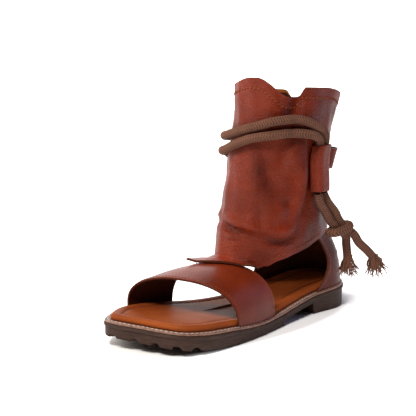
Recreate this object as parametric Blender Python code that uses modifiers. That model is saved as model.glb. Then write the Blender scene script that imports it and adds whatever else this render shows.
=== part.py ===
"""Gladiator sandal, one left shoe with its own tied rope.

Metres, +Z up. The toe points to -Y and the outer side of the foot is at +X.
"""
from math import cos, pi, radians, sin

import bmesh
import bpy
import numpy as np
from mathutils import Matrix, Vector

# Sole
SOLE_LENGTH = 0.250
BALL_WIDTH = 0.0982
HEEL_WIDTH = 0.064
SOLE_HEIGHT = 0.0215
RIM_LIP = 0.0009
RIM_LIP_DEPTH = 0.0030
WELT_THICKNESS = 0.0016
WELT_WIDTH = 0.0090
WELT_SET_IN = 0.0007
BREAST_ALONG = 0.062
TREAD_END = 0.0180
TREAD_STEP = 0.0042
BALL_REAR = 0.0060
BREAST_LEAN = 0.0008
STEP_LEAN = 0.0015
LUG_GROOVE_DEPTH = 0.0026
LUG_GROOVE_WIDTH = 0.0072
LUG_GROOVE_LENGTH = 0.026
LUG_GROOVE_SINK = 0.0008

# Footbed
LEDGE = 0.0055
FOOTBED_THICKNESS = 0.0048
FOOTBED_ROUND = 0.0019

# Upper
LEATHER = 0.0019
SHAFT_HEIGHT = 0.200
SHAFT_WIDTH = 0.074
STRAP_HEIGHT = 0.055
COUNTER_STEP = 0.0009
LIP_SINK = 0.0007
CORNER_DIP = 0.0034

# Rope and its keepers
ROPE_DIAMETER = 0.0076
KEEPER_LEATHER = 0.0016
KEEPER_FLANGE = 0.0010
KEEPER_SEAT = 0.0004

CLEARANCE = 0.0003

REAR_COLUMNS = 16
SIDE_COLUMNS = 9
LIP_COLUMNS = 16
TUBE_ROWS = 17
COUNTER_ROWS = 7
LIP_ROWS = 4
OUTLINE_STEPS = 4

# Sole plan, walked from the heel over the outer side to the toe and back.
# Columns: the width it follows, share of the length from the heel, share of that width.
PLAN = (
    ("heel", 0.000, 0.02),
    ("heel", 0.037, 0.345),
    ("heel", 0.116, 0.535),
    ("heel", 0.260, 0.525),
    ("ball", 0.420, 0.395),
    ("ball", 0.580, 0.472),
    ("ball", 0.724, 0.500),
    ("ball", 0.845, 0.488),
    ("ball", 0.922, 0.380),
    ("ball", 0.966, 0.100),
    ("ball", 0.999, -0.210),
    ("ball", 0.945, -0.376),
    ("ball", 0.856, -0.492),
    ("ball", 0.732, -0.500),
    ("ball", 0.576, -0.416),
    ("heel", 0.418, -0.500),
    ("heel", 0.260, -0.450),
    ("heel", 0.116, -0.450),
    ("heel", 0.032, -0.310),
)

# Top of the rim. Columns: share of the length from the heel, share of the sole height.
RIM = (
    (0.00, 0.99),
    (0.12, 0.93),
    (0.24, 0.82),
    (0.34, 0.68),
    (0.44, 0.55),
    (0.54, 0.51),
    (0.62, 0.56),
    (0.72, 0.68),
    (0.84, 0.80),
    (1.00, 1.00),
)

# Underside. Columns: share of the length from the heel, share of the sole height.
FORE_UNDERSIDE = (
    (0.64, 0.00),
    (0.72, 0.05),
    (0.80, 0.12),
    (0.90, 0.24),
    (1.00, 0.40),
)

# Upper from its lower edge to the collar.
# Columns: front height, front place, back height, back place, breadth, squareness, sag of the sides.
# Heights are shares of the shaft height, places of the sole length from the heel, breadths of the
# shaft width and the sag of the strap height.
SHAFT = (
    (0.298, 0.562, 0.372, 0.086, 0.89, 2.4, 0.140),
    (0.332, 0.556, 0.398, 0.089, 0.92, 2.3, 0.120),
    (0.385, 0.551, 0.436, 0.091, 0.95, 2.2, 0.070),
    (0.450, 0.540, 0.478, 0.093, 0.97, 2.2, 0.030),
    (0.520, 0.521, 0.520, 0.096, 0.97, 2.2, 0.000),
    (0.600, 0.499, 0.600, 0.097, 0.97, 2.2, 0.000),
    (0.700, 0.488, 0.700, 0.102, 0.97, 2.2, 0.000),
    (0.790, 0.472, 0.790, 0.088, 0.96, 2.2, 0.000),
    (0.860, 0.463, 0.860, 0.072, 0.96, 2.2, 0.000),
    (0.925, 0.460, 0.925, 0.046, 0.97, 2.2, 0.000),
    (0.985, 0.455, 0.965, 0.042, 1.00, 2.2, 0.000),
)

# Lip of the shaft that lies on the toe strap. Columns: share of its width from the inner corner to
# the outer one, place along the sole, reach across in shaft widths.
LIP = (
    (0.00, 0.641, -0.335),
    (0.25, 0.630, -0.165),
    (0.50, 0.606, 0.00),
    (0.75, 0.573, 0.180),
    (1.00, 0.538, 0.335),
)
LIP_HALF_ANGLE = 52
LIP_CURL = 0.0066
LIP_CORNER_CURL = 0.0032

# Collar edge. Columns: angle from the front towards the outer side, rise as a share of the height.
COLLAR = (
    (-180, -0.062),
    (-134, -0.060),
    (-127, -0.019),
    (-116, -0.014),
    (-90, -0.008),
    (-50, 0.000),
    (-15, 0.021),
    (0, 0.036),
    (14, 0.038),
    (30, 0.011),
    (45, -0.031),
    (58, -0.040),
    (66, -0.040),
    (71, 0.003),
    (100, 0.003),
    (125, -0.014),
    (145, -0.037),
    (160, -0.050),
    (180, -0.062),
)

# Broad folds of the shaft. Columns: angle, share of the shaft height, depth in shaft widths,
# half width in degrees, half height as a share of the shaft height.
FOLDS = (
    (62, 0.95, 0.070, 11, 0.24),
    (58, 0.66, 0.050, 13, 0.17),
    (82, 0.66, -0.020, 7, 0.22),
    (104, 0.66, 0.052, 15, 0.13),
    (20, 0.46, 0.040, 60, 0.050),
    (30, 0.38, -0.025, 45, 0.050),
)

# Heel counter below the shaft. Columns: share of its height, parts of the outer and the inner line
# that it covers, how far its form follows the shaft's edge.
COUNTER = (
    (1.00, 1.00, 1.00, 1.00),
    (0.75, 0.86, 0.96, 0.55),
    (0.50, 0.79, 0.97, 0.22),
    (0.25, 0.84, 1.00, 0.06),
    (0.00, 1.00, 1.00, 0.00),
)
COUNTER_HALF_ANGLE = 66
COUNTER_FRONT = 0.232
COUNTER_INNER_FRONT = 0.312
UPPER_SET_IN = 0.0026

# Toe strap. Columns: place in its width from front to rear, outer base, inner base and top as
# shares of the sole length, height in strap heights.
STRAP = (
    (0.0, 0.686, 0.826, 0.774, 0.885),
    (0.5, 0.590, 0.735, 0.672, 0.955),
    (1.0, 0.486, 0.645, 0.566, 0.980),
)
STRAP_ROUNDNESS = 2.35
STRAP_BULGE = 0.0022

# Rope round the shaft. Columns: angle, share of the shaft height, stand-off in rope diameters.
ROPE_TOP = (
    (106.2, 0.545, 0.61),
    (106.2, 0.600, 0.61),
    (106.2, 0.660, 0.61),
    (106.2, 0.715, 0.61),
    (103.5, 0.764, 0.63),
    (96, 0.800, 0.67),
    (86, 0.822, 0.65),
    (74, 0.844, 0.73),
    (62, 0.853, 0.89),
    (50, 0.852, 0.73),
    (35, 0.845, 0.63),
    (20, 0.829, 0.63),
    (5, 0.813, 0.63),
    (-10, 0.794, 0.65),
    (-25, 0.780, 0.65),
    (-50, 0.770, 0.69),
    (-85, 0.755, 0.71),
    (-120, 0.743, 0.73),
    (-140, 0.740, 0.73),
    (-156, 0.739, 0.71),
    (-168, 0.729, 0.71),
    (-177.5, 0.700, 0.71),
)
ROPE_LOW = (
    (-181, 0.654, 0.69),
    (-177.5, 0.608, 0.67),
    (-168, 0.579, 0.67),
    (-156, 0.571, 0.69),
    (-140, 0.576, 0.71),
    (-120, 0.594, 0.73),
    (-85, 0.652, 0.69),
    (-60, 0.699, 0.65),
    (-40, 0.711, 0.65),
    (-20, 0.724, 0.65),
    (-5, 0.748, 0.63),
    (8, 0.770, 0.63),
    (20, 0.782, 0.63),
    (35, 0.790, 0.63),
    (50, 0.796, 0.69),
    (62, 0.797, 0.77),
    (74, 0.794, 0.69),
    (84, 0.785, 0.65),
    (91.5, 0.770, 0.63),
    (96.0, 0.744, 0.61),
    (97.7, 0.705, 0.61),
    (97.8, 0.650, 0.61),
    (97.8, 0.595, 0.61),
    (97.8, 0.545, 0.61),
)

# Free stretches of the rope below the outer keeper.
# Columns: place across in shaft widths, share of the length from the heel, share of the shaft height.
DROP_REAR = (
    (0.4990, 0.2350, 0.5360),
    (0.5330, 0.2220, 0.4950),
    (0.5870, 0.2000, 0.4500),
    (0.6080, 0.1880, 0.4175),
)
DROP_FRONT = (
    (0.5160, 0.2692, 0.5370),
    (0.5360, 0.2616, 0.4950),
    (0.5730, 0.2416, 0.4470),
    (0.5892, 0.2248, 0.4145),
)
TAIL_SHORT = (
    (0.6257, 0.1536, 0.3420),
    (0.6243, 0.1456, 0.3000),
    (0.6324, 0.1432, 0.2650),
    (0.6392, 0.1420, 0.2410),
)
TAIL_LONG = (
    (0.7162, 0.1412, 0.3490),
    (0.7378, 0.1184, 0.3090),
    (0.7703, 0.0856, 0.2730),
    (0.8000, 0.0584, 0.2370),
)
FRAY_SHORT = (
    (0.6405, 0.1420, 0.2385),
    (0.6486, 0.1416, 0.2150),
    (0.6622, 0.1408, 0.1650),
)
FRAY_LONG = (
    (0.8095, 0.0528, 0.2295),
    (0.8135, 0.0496, 0.2075),
    (0.8270, 0.0440, 0.1575),
)
FRAY_SPREAD = (1.0, 1.7, 2.3)
KNOT_PLACE = ((0.6243, 0.1880, 0.3760),)
KNOT_TURN = 17
KNOT_LENGTH = 0.028
KNOT_DIAMETER = 0.0122
KNOT_ROUND = 0.0035

# Keepers. Columns: name, angle, foot and head as shares of the shaft height, width in shaft widths,
# room under foot and head in rope diameters.
KEEPERS = (
    ("outer_keeper", 102, 0.545, 0.739, 0.3020, 1.225, 1.285),
    ("back_keeper", 177.5, 0.610, 0.699, 0.3514, 1.316, 2.250),
)

# Waist of the tread, as shares of the stretch from the ball's step to the heel breast.
WAIST = (1.0, 0.77, 0.5, 0.23, 0.0)

# Lug grooves under the toe. Columns: place across in ball widths, share of the length from the
# heel, turn of the groove from straight ahead towards the outer side.
LUGS = (
    (-0.160, 0.992, -5),
    (0.030, 0.972, 10),
    (0.210, 0.948, 16),
    (0.375, 0.919, 40),
    (0.463, 0.867, 66),
)


def clear_scene():
    """Start from an empty file."""
    for ob in list(bpy.data.objects):
        bpy.data.objects.remove(ob, do_unlink=True)


def collection(name):
    """A collection of that name under the scene."""
    made = bpy.data.collections.new(name)
    bpy.context.scene.collection.children.link(made)
    return made


def hex_linear(code):
    """An sRGB hex colour as linear RGBA."""
    parts = [int(code[i:i + 2], 16) / 255 for i in (1, 3, 5)]
    line = [c / 12.92 if c <= 0.04045 else ((c + 0.055) / 1.055) ** 2.4 for c in parts]
    return (*line, 1.0)


def material(name, colour, roughness):
    """A plain Principled material."""
    made = bpy.data.materials.new(name)
    made.use_nodes = True
    shader = made.node_tree.nodes["Principled BSDF"]
    shader.inputs["Base Color"].default_value = hex_linear(colour)
    shader.inputs["Roughness"].default_value = roughness
    shader.inputs["Metallic"].default_value = 0.0
    made.diffuse_color = hex_linear(colour)
    return made


def along(share):
    """The Y of a share of the sole length counted from the heel."""
    return SOLE_LENGTH * (0.5 - share)


def curve_through(rows, at):
    """Rows of numbers read as one smooth curve; at runs from 0 to 1 over the rows."""
    rows = np.asarray(rows, float)
    t = np.clip(at, 0, 1) * (len(rows) - 1)
    i = min(int(t), len(rows) - 2)
    f = t - i
    p1, p2 = rows[i], rows[i + 1]
    p0 = rows[i - 1] if i > 0 else 2 * p1 - p2
    p3 = rows[i + 2] if i + 2 < len(rows) else 2 * p2 - p1
    m1, m2 = (p2 - p0) / 2, (p3 - p1) / 2
    return ((2 * f ** 3 - 3 * f ** 2 + 1) * p1 + (f ** 3 - 2 * f ** 2 + f) * m1
            + (3 * f ** 2 - 2 * f ** 3) * p2 + (f ** 3 - f ** 2) * m2)


def table_at(rows, key):
    """The second and later columns of a table at a value of its first column, smoothly."""
    rows = np.asarray(rows, float)
    first = rows[:, 0]
    if first[0] > first[-1]:
        rows = rows[::-1]
        first = rows[:, 0]
    place = np.interp(key, first, np.arange(len(rows))) / (len(rows) - 1)
    low = int(np.clip(np.searchsorted(first, key) - 1, 0, len(rows) - 2))
    found = curve_through(rows, place)[1:]
    near = rows[max(low - 1, 0):low + 3, 1:]
    return np.clip(found, near.min(axis=0), near.max(axis=0))


def plan_outline(set_in=0.0):
    """The sole's plan as a closed loop of (x, y), set in from the rim."""
    width = {"heel": HEEL_WIDTH, "ball": BALL_WIDTH}
    knots = np.array([(width[of] * across, along(at)) for of, at, across in PLAN])
    loop = []
    count = len(knots)
    for i in range(count):
        near = [knots[(i + k) % count] for k in (-1, 0, 1, 2)]
        for step in range(OUTLINE_STEPS):
            loop.append(curve_through(near, (1 + step / OUTLINE_STEPS) / 3))
    loop = np.array(loop)
    run = np.roll(loop, -1, axis=0) - np.roll(loop, 1, axis=0)
    run /= np.linalg.norm(run, axis=1)[:, None]
    inward = np.stack([run[:, 1], -run[:, 0]], axis=1)
    return loop + inward * set_in


def rim_height(y):
    """The height of the rim's top at a place along the sole."""
    return SOLE_HEIGHT * float(table_at(RIM, 0.5 - y / SOLE_LENGTH)[0])


def link(ob, where):
    """Put an object in one collection."""
    for old in list(ob.users_collection):
        old.objects.unlink(ob)
    where.objects.link(ob)
    return ob


def flat_curve(name, loop, half, turn):
    """A filled outline pulled out to both sides, as a mesh with welded caps."""
    data = bpy.data.curves.new(name, "CURVE")
    data.dimensions = "2D"
    data.fill_mode = "BOTH"
    data.extrude = half
    spline = data.splines.new("POLY")
    spline.points.add(len(loop) - 1)
    for point, (a, b) in zip(spline.points, loop):
        point.co = (a, b, 0.0, 1.0)
    spline.use_cyclic_u = True
    ob = bpy.data.objects.new(name, data)
    ob.rotation_euler = turn
    bpy.context.scene.collection.objects.link(ob)
    return curve_to_mesh(ob)


def curve_to_mesh(ob):
    """The evaluated curve as a mesh object in world places, with its caps welded."""
    bpy.context.view_layer.update()
    graph = bpy.context.evaluated_depsgraph_get()
    data = bpy.data.meshes.new_from_object(ob.evaluated_get(graph))
    data.transform(ob.matrix_world)
    name = ob.name
    bpy.data.objects.remove(ob, do_unlink=True)
    made = bpy.data.objects.new(name, data)
    bpy.context.scene.collection.objects.link(made)
    tidy_mesh(made)
    return made


def tidy_mesh(ob):
    """Weld doubles and turn the faces outwards."""
    work = bmesh.new()
    work.from_mesh(ob.data)
    bmesh.ops.remove_doubles(work, verts=work.verts, dist=0.00001)
    bmesh.ops.recalc_face_normals(work, faces=work.faces)
    work.to_mesh(ob.data)
    work.free()


def plan_prism(name, set_in):
    """An upright prism on the sole's plan."""
    return flat_curve(name, plan_outline(set_in), SOLE_HEIGHT * 3, (0.0, 0.0, 0.0))


def side_prism(name, top, bottom):
    """A prism across the shoe on a side profile; top and bottom run from heel to toe."""
    loop = list(top) + list(bottom)[::-1]
    return flat_curve(name, loop, BALL_WIDTH, (pi / 2, 0.0, pi / 2))


def boolean(ob, other, operation):
    """Join or cut with another object, which goes to the cutters."""
    modifier = ob.modifiers.new(operation.title() + " " + other.name, "BOOLEAN")
    modifier.operation = operation
    modifier.object = other
    modifier.solver = "EXACT"
    link(other, CUTTERS)
    other.hide_render = True
    other.display_type = "WIRE"


def finish(ob, name, mat):
    """Name a part and give it its collection and material."""
    ob.name = name
    ob.data.name = name
    ob.data.materials.clear()
    ob.data.materials.append(mat)
    return link(ob, PARTS)


STATIONS = [(i + 0.5) / 22 for i in range(22)]
OVERRUN = 0.02


def rim_line(rise):
    """The rim's side line lifted by some height, a little longer than the sole."""
    line = [(along(s), rim_height(along(s)) + rise) for s in STATIONS]
    return [(line[0][0] + OVERRUN, line[0][1])] + line + [(line[-1][0] - OVERRUN, line[-1][1])]


def underside():
    """The side line of the tread, from the heel block over the waist to the toe."""
    heel_end = along(0.0) + OVERRUN
    places = [TREAD_END + (BREAST_ALONG - TREAD_END) * share for share in WAIST]
    waist = [(y, rim_height(y) - SOLE_HEIGHT * 0.36) for y in places]
    line = [(heel_end, 0.0), (BREAST_ALONG + BREAST_LEAN, 0.0)] + waist
    line.append((TREAD_END - STEP_LEAN, max(waist[-1][1] - TREAD_STEP, 0.0)))
    line.append((BALL_REAR, 0.0))
    fore = [(along(s), SOLE_HEIGHT * float(table_at(FORE_UNDERSIDE, s)[0])) for s in STATIONS if s > 0.63]
    line += fore
    line.append((fore[-1][0] - OVERRUN, fore[-1][1]))
    return line


def make_outsole(mat):
    """Moulded rubber sole with its heel block, waist, rim lip and toe lugs."""
    top = -WELT_THICKNESS - CLEARANCE
    ob = plan_prism("outsole", RIM_LIP)
    inside_lip = top - RIM_LIP_DEPTH / 2
    boolean(ob, side_prism("sole_side", rim_line(inside_lip), underside()), "INTERSECT")
    lip = plan_prism("rim_lip", 0.0)
    lip_side = side_prism("lip_side", rim_line(top), rim_line(top - RIM_LIP_DEPTH))
    boolean(lip, lip_side, "INTERSECT")
    boolean(ob, lip, "UNION")
    for i, (across, share, turn) in enumerate(LUGS):
        level = SOLE_HEIGHT * float(table_at(FORE_UNDERSIDE, share)[0])
        ahead = Vector((sin(radians(turn)), -cos(radians(turn)), 0.0))
        bpy.ops.mesh.primitive_cylinder_add(vertices=12, radius=0.5, depth=1.0)
        groove = bpy.context.object
        groove.name = "lug_groove_%d" % (i + 1)
        groove.scale = (LUG_GROOVE_WIDTH, 2 * LUG_GROOVE_DEPTH, LUG_GROOVE_LENGTH)
        groove.rotation_euler = (pi / 2 - radians(8), 0.0, radians(turn))
        edge = Vector((BALL_WIDTH * across, along(share), level - LUG_GROOVE_SINK))
        groove.location = edge - ahead * LUG_GROOVE_LENGTH * 0.30
        boolean(ob, groove, "DIFFERENCE")
    return finish(ob, "outsole", mat)


def make_welt(mat):
    """Welt strip that carries the stitching between the rim and the footbed."""
    ob = plan_prism("welt", WELT_SET_IN)
    boolean(ob, side_prism("welt_side", rim_line(0.0), rim_line(-WELT_THICKNESS)), "INTERSECT")
    boolean(ob, plan_prism("welt_hole", WELT_SET_IN + WELT_WIDTH), "DIFFERENCE")
    return finish(ob, "welt", mat)


def make_footbed(mat):
    """Padded leather footbed with a rounded edge; its filler drops inside the welt."""
    ob = plan_prism("footbed", LEDGE)
    boolean(ob, side_prism("footbed_side", rim_line(FOOTBED_THICKNESS), rim_line(CLEARANCE)), "INTERSECT")
    bevel = ob.modifiers.new("Rounded edge", "BEVEL")
    bevel.width = FOOTBED_ROUND
    bevel.segments = 2
    bevel.limit_method = "ANGLE"
    bevel.angle_limit = radians(50)
    filler = plan_prism("footbed_filler", WELT_SET_IN + WELT_WIDTH + CLEARANCE)
    filler_side = side_prism("filler_side", rim_line(FOOTBED_THICKNESS / 2), rim_line(-WELT_THICKNESS))
    boolean(filler, filler_side, "INTERSECT")
    boolean(ob, filler, "UNION")
    return finish(ob, "footbed", mat)


def fold_depth(angle, height):
    """How far the broad folds draw the shaft in at a place, in metres."""
    depth = 0.0
    for at, up, deep, wide, tall in FOLDS:
        turn = (angle - at + 180) % 360 - 180
        depth += deep * np.exp(-(turn / wide) ** 2 - ((height - up) / tall) ** 2)
    return SHAFT_WIDTH * depth


def shaft_point(angle, up, out=0.0):
    """A point of the shaft's outer face.

    angle runs from the front towards the outer side, up from the lower edge to the collar.
    """
    f_up, f_at, b_up, b_at, breadth, square, sag = curve_through(SHAFT, up)
    turn = radians(angle)
    s, c = sin(turn), cos(turn)
    side = np.sign(s) * abs(s) ** (2 / square)
    reach = np.sign(c) * abs(c) ** (2 / square)
    front = np.array([0.0, along(f_at), SHAFT_HEIGHT * f_up])
    back = np.array([0.0, along(b_at), SHAFT_HEIGHT * b_up])
    p = (front + back) / 2 + (front - back) / 2 * reach
    half = SHAFT_WIDTH / 2 * breadth
    p[0] += half * side
    p[2] -= STRAP_HEIGHT * sag * s * s * (1 + c)
    turned = (angle + 180) % 360 - 180
    p[2] -= CORNER_DIP * np.exp(-((turned - LIP_HALF_ANGLE - 2) / 8) ** 2) * max(1 - up / 0.14, 0)
    p[2] += SHAFT_HEIGHT * float(table_at(COLLAR, (angle + 180) % 360 - 180)[0]) * max(up - 0.72, 0) ** 2 / 0.0784
    depth = abs(front[1] - back[1]) / 2
    normal = np.array([side / half, -reach / depth, 0.0])
    normal /= np.linalg.norm(normal)
    return p + normal * (out - fold_depth(angle, p[2] / SHAFT_HEIGHT))


def at_height(angle, share, out):
    """The shaft's outer face, or a place off it, at a share of the shaft height."""
    low, high = 0.0, 1.0
    for _ in range(24):
        mid = (low + high) / 2
        if shaft_point(angle, mid)[2] < share * SHAFT_HEIGHT:
            low = mid
        else:
            high = mid
    return shaft_point(angle, (low + high) / 2, out)


def loft(name, rows, closed):
    """An open surface through rows of points; closed rows run round."""
    work = bmesh.new()
    lines = [[work.verts.new(p) for p in row] for row in rows]
    for a, b in zip(lines, lines[1:]):
        count = len(a) if closed else len(a) - 1
        for i in range(count):
            j = (i + 1) % len(a)
            work.faces.new((a[i], a[j], b[j], b[i]))
    data = bpy.data.meshes.new(name)
    work.to_mesh(data)
    work.free()
    ob = bpy.data.objects.new(name, data)
    bpy.context.scene.collection.objects.link(ob)
    return ob


def thicken(ob, wall, outward):
    """Give an open surface its wall."""
    solid = ob.modifiers.new("Wall", "SOLIDIFY")
    solid.thickness = wall
    solid.offset = 1.0 if outward else -1.0
    solid.use_even_offset = True
    solid.use_rim = True


def column_angles():
    """Angles of the upper's columns: the counter's at the back, then the inner side, lip and outer side."""
    def spread(start, end, parts):
        return [start + (end - start) * i / parts for i in range(parts)]
    back, lip = COUNTER_HALF_ANGLE, LIP_HALF_ANGLE
    return (spread(180 - back, 180 + back, REAR_COLUMNS) + spread(180 + back, 360 - lip, SIDE_COLUMNS)
            + spread(360 - lip, 360 + lip, LIP_COLUMNS) + spread(360 + lip, 540 - back, SIDE_COLUMNS))


def rim_reach(y, side):
    """How far the rim reaches across on one side (1 outer, -1 inner) at a place along the sole."""
    loop = plan_outline()
    part = loop[(loop[:, 0] * side > 0) & (np.abs(loop[:, 1]) < SOLE_LENGTH / 2)]
    part = part[np.argsort(part[:, 1])]
    return float(np.interp(y, part[:, 1], np.abs(part[:, 0])))


def heel_outline():
    """The counter's line on the welt, from the outer side round the back to the inner side."""
    loop = plan_outline(UPPER_SET_IN)
    count = len(loop)
    back = int(np.argmax(loop[:, 1]))
    half = count // 3
    line = np.array([loop[(back + i) % count] for i in range(half, -half - 1, -1)])
    front = np.where(np.arange(len(line)) < half, along(COUNTER_FRONT), along(COUNTER_INNER_FRONT))
    line = line[line[:, 1] > front]
    run = np.r_[0, np.cumsum(np.linalg.norm(np.diff(line, axis=0), axis=1))]
    middle = run[int(np.argmax(line[:, 1]))]
    outer, inner = run / middle / 2, 0.5 + (run - middle) / (run[-1] - middle) / 2
    return line, np.where(run < middle, outer, inner)


def counter_point(share, turn, edge):
    """A point of the heel counter below a point of the shaft's edge; turn runs from 0 to 1."""
    outer, inner, follow = table_at(COUNTER, share)
    line, run = heel_outline()
    at = 0.5 + (turn - 0.5) * (outer if turn < 0.5 else inner)
    foot = np.array([np.interp(at, run, line[:, 0]), np.interp(at, run, line[:, 1])])
    x, y = foot * (1 - follow) + np.array(edge(at))[:2] * follow
    low = rim_height(y) + CLEARANCE
    return np.array([x, y, low + (edge(at)[2] - low) * share])


def strap_point(across, turn, out=0.0):
    """A point of the toe strap's outer face; turn runs from the outer base to the inner base."""
    _, outer_at, inner_at, top_at, high = curve_through(STRAP, across)
    c, s = cos(turn), sin(turn)
    power = 2 / STRAP_ROUNDNESS
    mean = (outer_at + inner_at) / 2
    y = along(mean + (inner_at - outer_at) / 2 * -c + (top_at - mean) * s)
    side = 1 if c > 0 else -1
    base = along(outer_at if c > 0 else inner_at)
    reach = rim_reach(base, side) - UPPER_SET_IN
    x = side * (reach + out) * abs(c) ** power + side * STRAP_BULGE * abs(sin(2 * turn)) ** 1.5
    foot = rim_height(y) + CLEARANCE
    return np.array([x, y, foot + (STRAP_HEIGHT * high + out - foot) * abs(s) ** power])


def strap_top(x, y):
    """The height of the strap's outer face over a place in plan."""
    across, turn = 0.8, pi / 2
    for _ in range(30):
        p = strap_point(across, turn)
        across += (p[1] - y) / SOLE_LENGTH / 0.22
        turn += (p[0] - x) / BALL_WIDTH * 1.6
        turn = min(max(turn, 0.2), pi - 0.2)
    return strap_point(across, turn)[2]


def lip_point(turn, share, edge):
    """A point of the lip in front of the shaft's edge; share runs from the edge to the lip's end."""
    at, reach = table_at(LIP, turn)
    x, y = SHAFT_WIDTH * reach, along(at)
    z = strap_top(x, y) + LEATHER - LIP_SINK
    curl = LIP_CURL * max(1 - turn / 0.2, 0) + LIP_CORNER_CURL * max((turn - 0.85) / 0.15, 0)
    z += curl * min(max((share - 0.45) / 0.55, 0), 1) ** 2
    end = np.array([x, y, z])
    ease = share ** 1.6
    flat = np.array(edge) * (1 - share) + end * share
    flat[2] = edge[2] + (end[2] - edge[2]) * (1 - (1 - share) ** 1.8)
    flat[1] = edge[1] + (end[1] - edge[1]) * ease
    return flat


def make_upper(mat):
    """Shaft, lip, heel counter and toe strap in one hollow leather wall."""
    angles = column_angles()
    tube = [[shaft_point(a, 1 - r / TUBE_ROWS) for a in angles] for r in range(TUBE_ROWS + 1)]
    work = bmesh.new()
    lines = [[work.verts.new(p) for p in row] for row in tube]
    for a, b in zip(lines, lines[1:]):
        for i in range(len(angles)):
            j = (i + 1) % len(angles)
            work.faces.new((a[i], b[i], b[j], a[j]))

    def add_rows(above, rows):
        for points in rows:
            row = [work.verts.new(p) for p in points]
            for i in range(len(row) - 1):
                work.faces.new((above[i], row[i], row[i + 1], above[i + 1]))
            above = row

    edge = lines[-1][:REAR_COLUMNS + 1]
    stepped = []
    for vert in edge:
        away = Vector((vert.co.x, vert.co.y - along(COUNTER_FRONT), 0.0)).normalized()
        stepped.append(np.array(vert.co - away * COUNTER_STEP - Vector((0, 0, COUNTER_STEP))))
    turns = [i / REAR_COLUMNS for i in range(REAR_COLUMNS + 1)]

    def edge_at(turn):
        return [np.interp(turn, turns, [p[k] for p in stepped]) for k in range(3)]

    counter = [stepped]
    for r in range(1, COUNTER_ROWS + 1):
        counter.append([counter_point(1 - r / COUNTER_ROWS, t, edge_at) for t in turns])
    add_rows(edge, counter)

    first = REAR_COLUMNS + SIDE_COLUMNS
    front = lines[-1][first:first + LIP_COLUMNS + 1]
    lip = []
    for r in range(1, LIP_ROWS + 1):
        lip.append([lip_point(i / LIP_COLUMNS, r / LIP_ROWS, np.array(v.co)) for i, v in enumerate(front)])
    add_rows(front, lip)

    data = bpy.data.meshes.new("upper")
    work.to_mesh(data)
    work.free()
    ob = bpy.data.objects.new("upper", data)
    bpy.context.scene.collection.objects.link(ob)
    tidy_mesh(ob)
    thicken(ob, LEATHER, outward=False)
    boolean(ob, make_toe_strap(), "UNION")
    return finish(ob, "upper", mat)


def make_toe_strap():
    """Wide leather band over the toes, with its ends standing on the welt."""
    rows = [[strap_point(r / 8, pi * i / 22) for i in range(23)] for r in range(9)]
    ob = loft("toe_strap", rows, closed=False)
    tidy_mesh(ob)
    thicken(ob, LEATHER, outward=False)
    return ob


def keeper(mat, name, centre, low, high, share_across, foot_room, head_room):
    """Leather tunnel sewn to the shaft at both sides, from one row of its table."""
    width = SHAFT_WIDTH * share_across
    humps = (ROPE_DIAMETER * foot_room, ROPE_DIAMETER * head_room)
    flat = 1 - KEEPER_FLANGE * 2 / width
    places = [-1.0] + [flat * (-1 + i / 6) for i in range(13)] + [1.0]
    rows = []
    for r in range(7):
        share = low + (high - low) * r / 6
        hump = humps[0] + (humps[1] - humps[0]) * r / 6
        half = degrees_across(centre, share, width / 2)
        row = []
        for t in places:
            rise = hump * max(1 - abs(t / flat) ** 4, 0) ** 0.5
            row.append(at_height(centre + half * t, share, KEEPER_SEAT + KEEPER_LEATHER + rise))
        rows.append(row)
    ob = loft(name, rows, closed=False)
    tidy_mesh(ob)
    thicken(ob, KEEPER_LEATHER, outward=False)
    return finish(ob, name, mat)


def degrees_across(angle, share, distance):
    """The angle that covers a distance round the shaft."""
    step = 4
    gap = np.linalg.norm(at_height(angle + step, share, 0) - at_height(angle - step, share, 0))
    return distance * 2 * step / gap


def tube(name, points, diameter, mat, spread=None):
    """A cord's solid along chosen points; spread widens it from point to point."""
    data = bpy.data.curves.new(name, "CURVE")
    data.dimensions = "3D"
    data.bevel_depth = diameter / 2
    data.bevel_resolution = 2
    data.use_fill_caps = True
    spline = data.splines.new("POLY")
    spline.points.add(len(points) - 1)
    for i, place in enumerate(points):
        spline.points[i].co = (*place, 1.0)
        spline.points[i].radius = spread[i] if spread else 1.0
    ob = bpy.data.objects.new(name, data)
    bpy.context.scene.collection.objects.link(ob)
    return finish(curve_to_mesh(ob), name, mat)


def free_points(rows):
    """Places in metres of one of the tables of free points."""
    return [np.array([SHAFT_WIDTH * across, along(share), SHAFT_HEIGHT * up]) for across, share, up in rows]


def smooth_route(points, count):
    """Evenly spaced points on a smooth curve through the given ones."""
    fine = np.array([curve_through(points, i / (count * 8)) for i in range(count * 8 + 1)])
    run = np.r_[0, np.cumsum(np.linalg.norm(np.diff(fine, axis=0), axis=1))]
    at = np.linspace(0, run[-1], count)
    return np.stack([np.interp(at, run, fine[:, k]) for k in range(3)], axis=1)


def make_rope(mat):
    """Rope from the outer keeper round the front to the back keeper and home again."""
    route = [at_height(a, up, off * ROPE_DIAMETER) for a, up, off in ROPE_TOP + ROPE_LOW]
    tube("rope_wrap", smooth_route(route, 60), ROPE_DIAMETER, mat)
    tube("rope_drop_rear", smooth_route(free_points(DROP_REAR), 6), ROPE_DIAMETER, mat)
    tube("rope_drop_front", smooth_route(free_points(DROP_FRONT), 6), ROPE_DIAMETER, mat)
    tube("rope_tail_short", smooth_route(free_points(TAIL_SHORT), 5), ROPE_DIAMETER, mat)
    tube("rope_tail_long", smooth_route(free_points(TAIL_LONG), 6), ROPE_DIAMETER, mat)
    tube("rope_fray_short", free_points(FRAY_SHORT), ROPE_DIAMETER, mat, FRAY_SPREAD)
    tube("rope_fray_long", free_points(FRAY_LONG), ROPE_DIAMETER, mat, FRAY_SPREAD)


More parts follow.
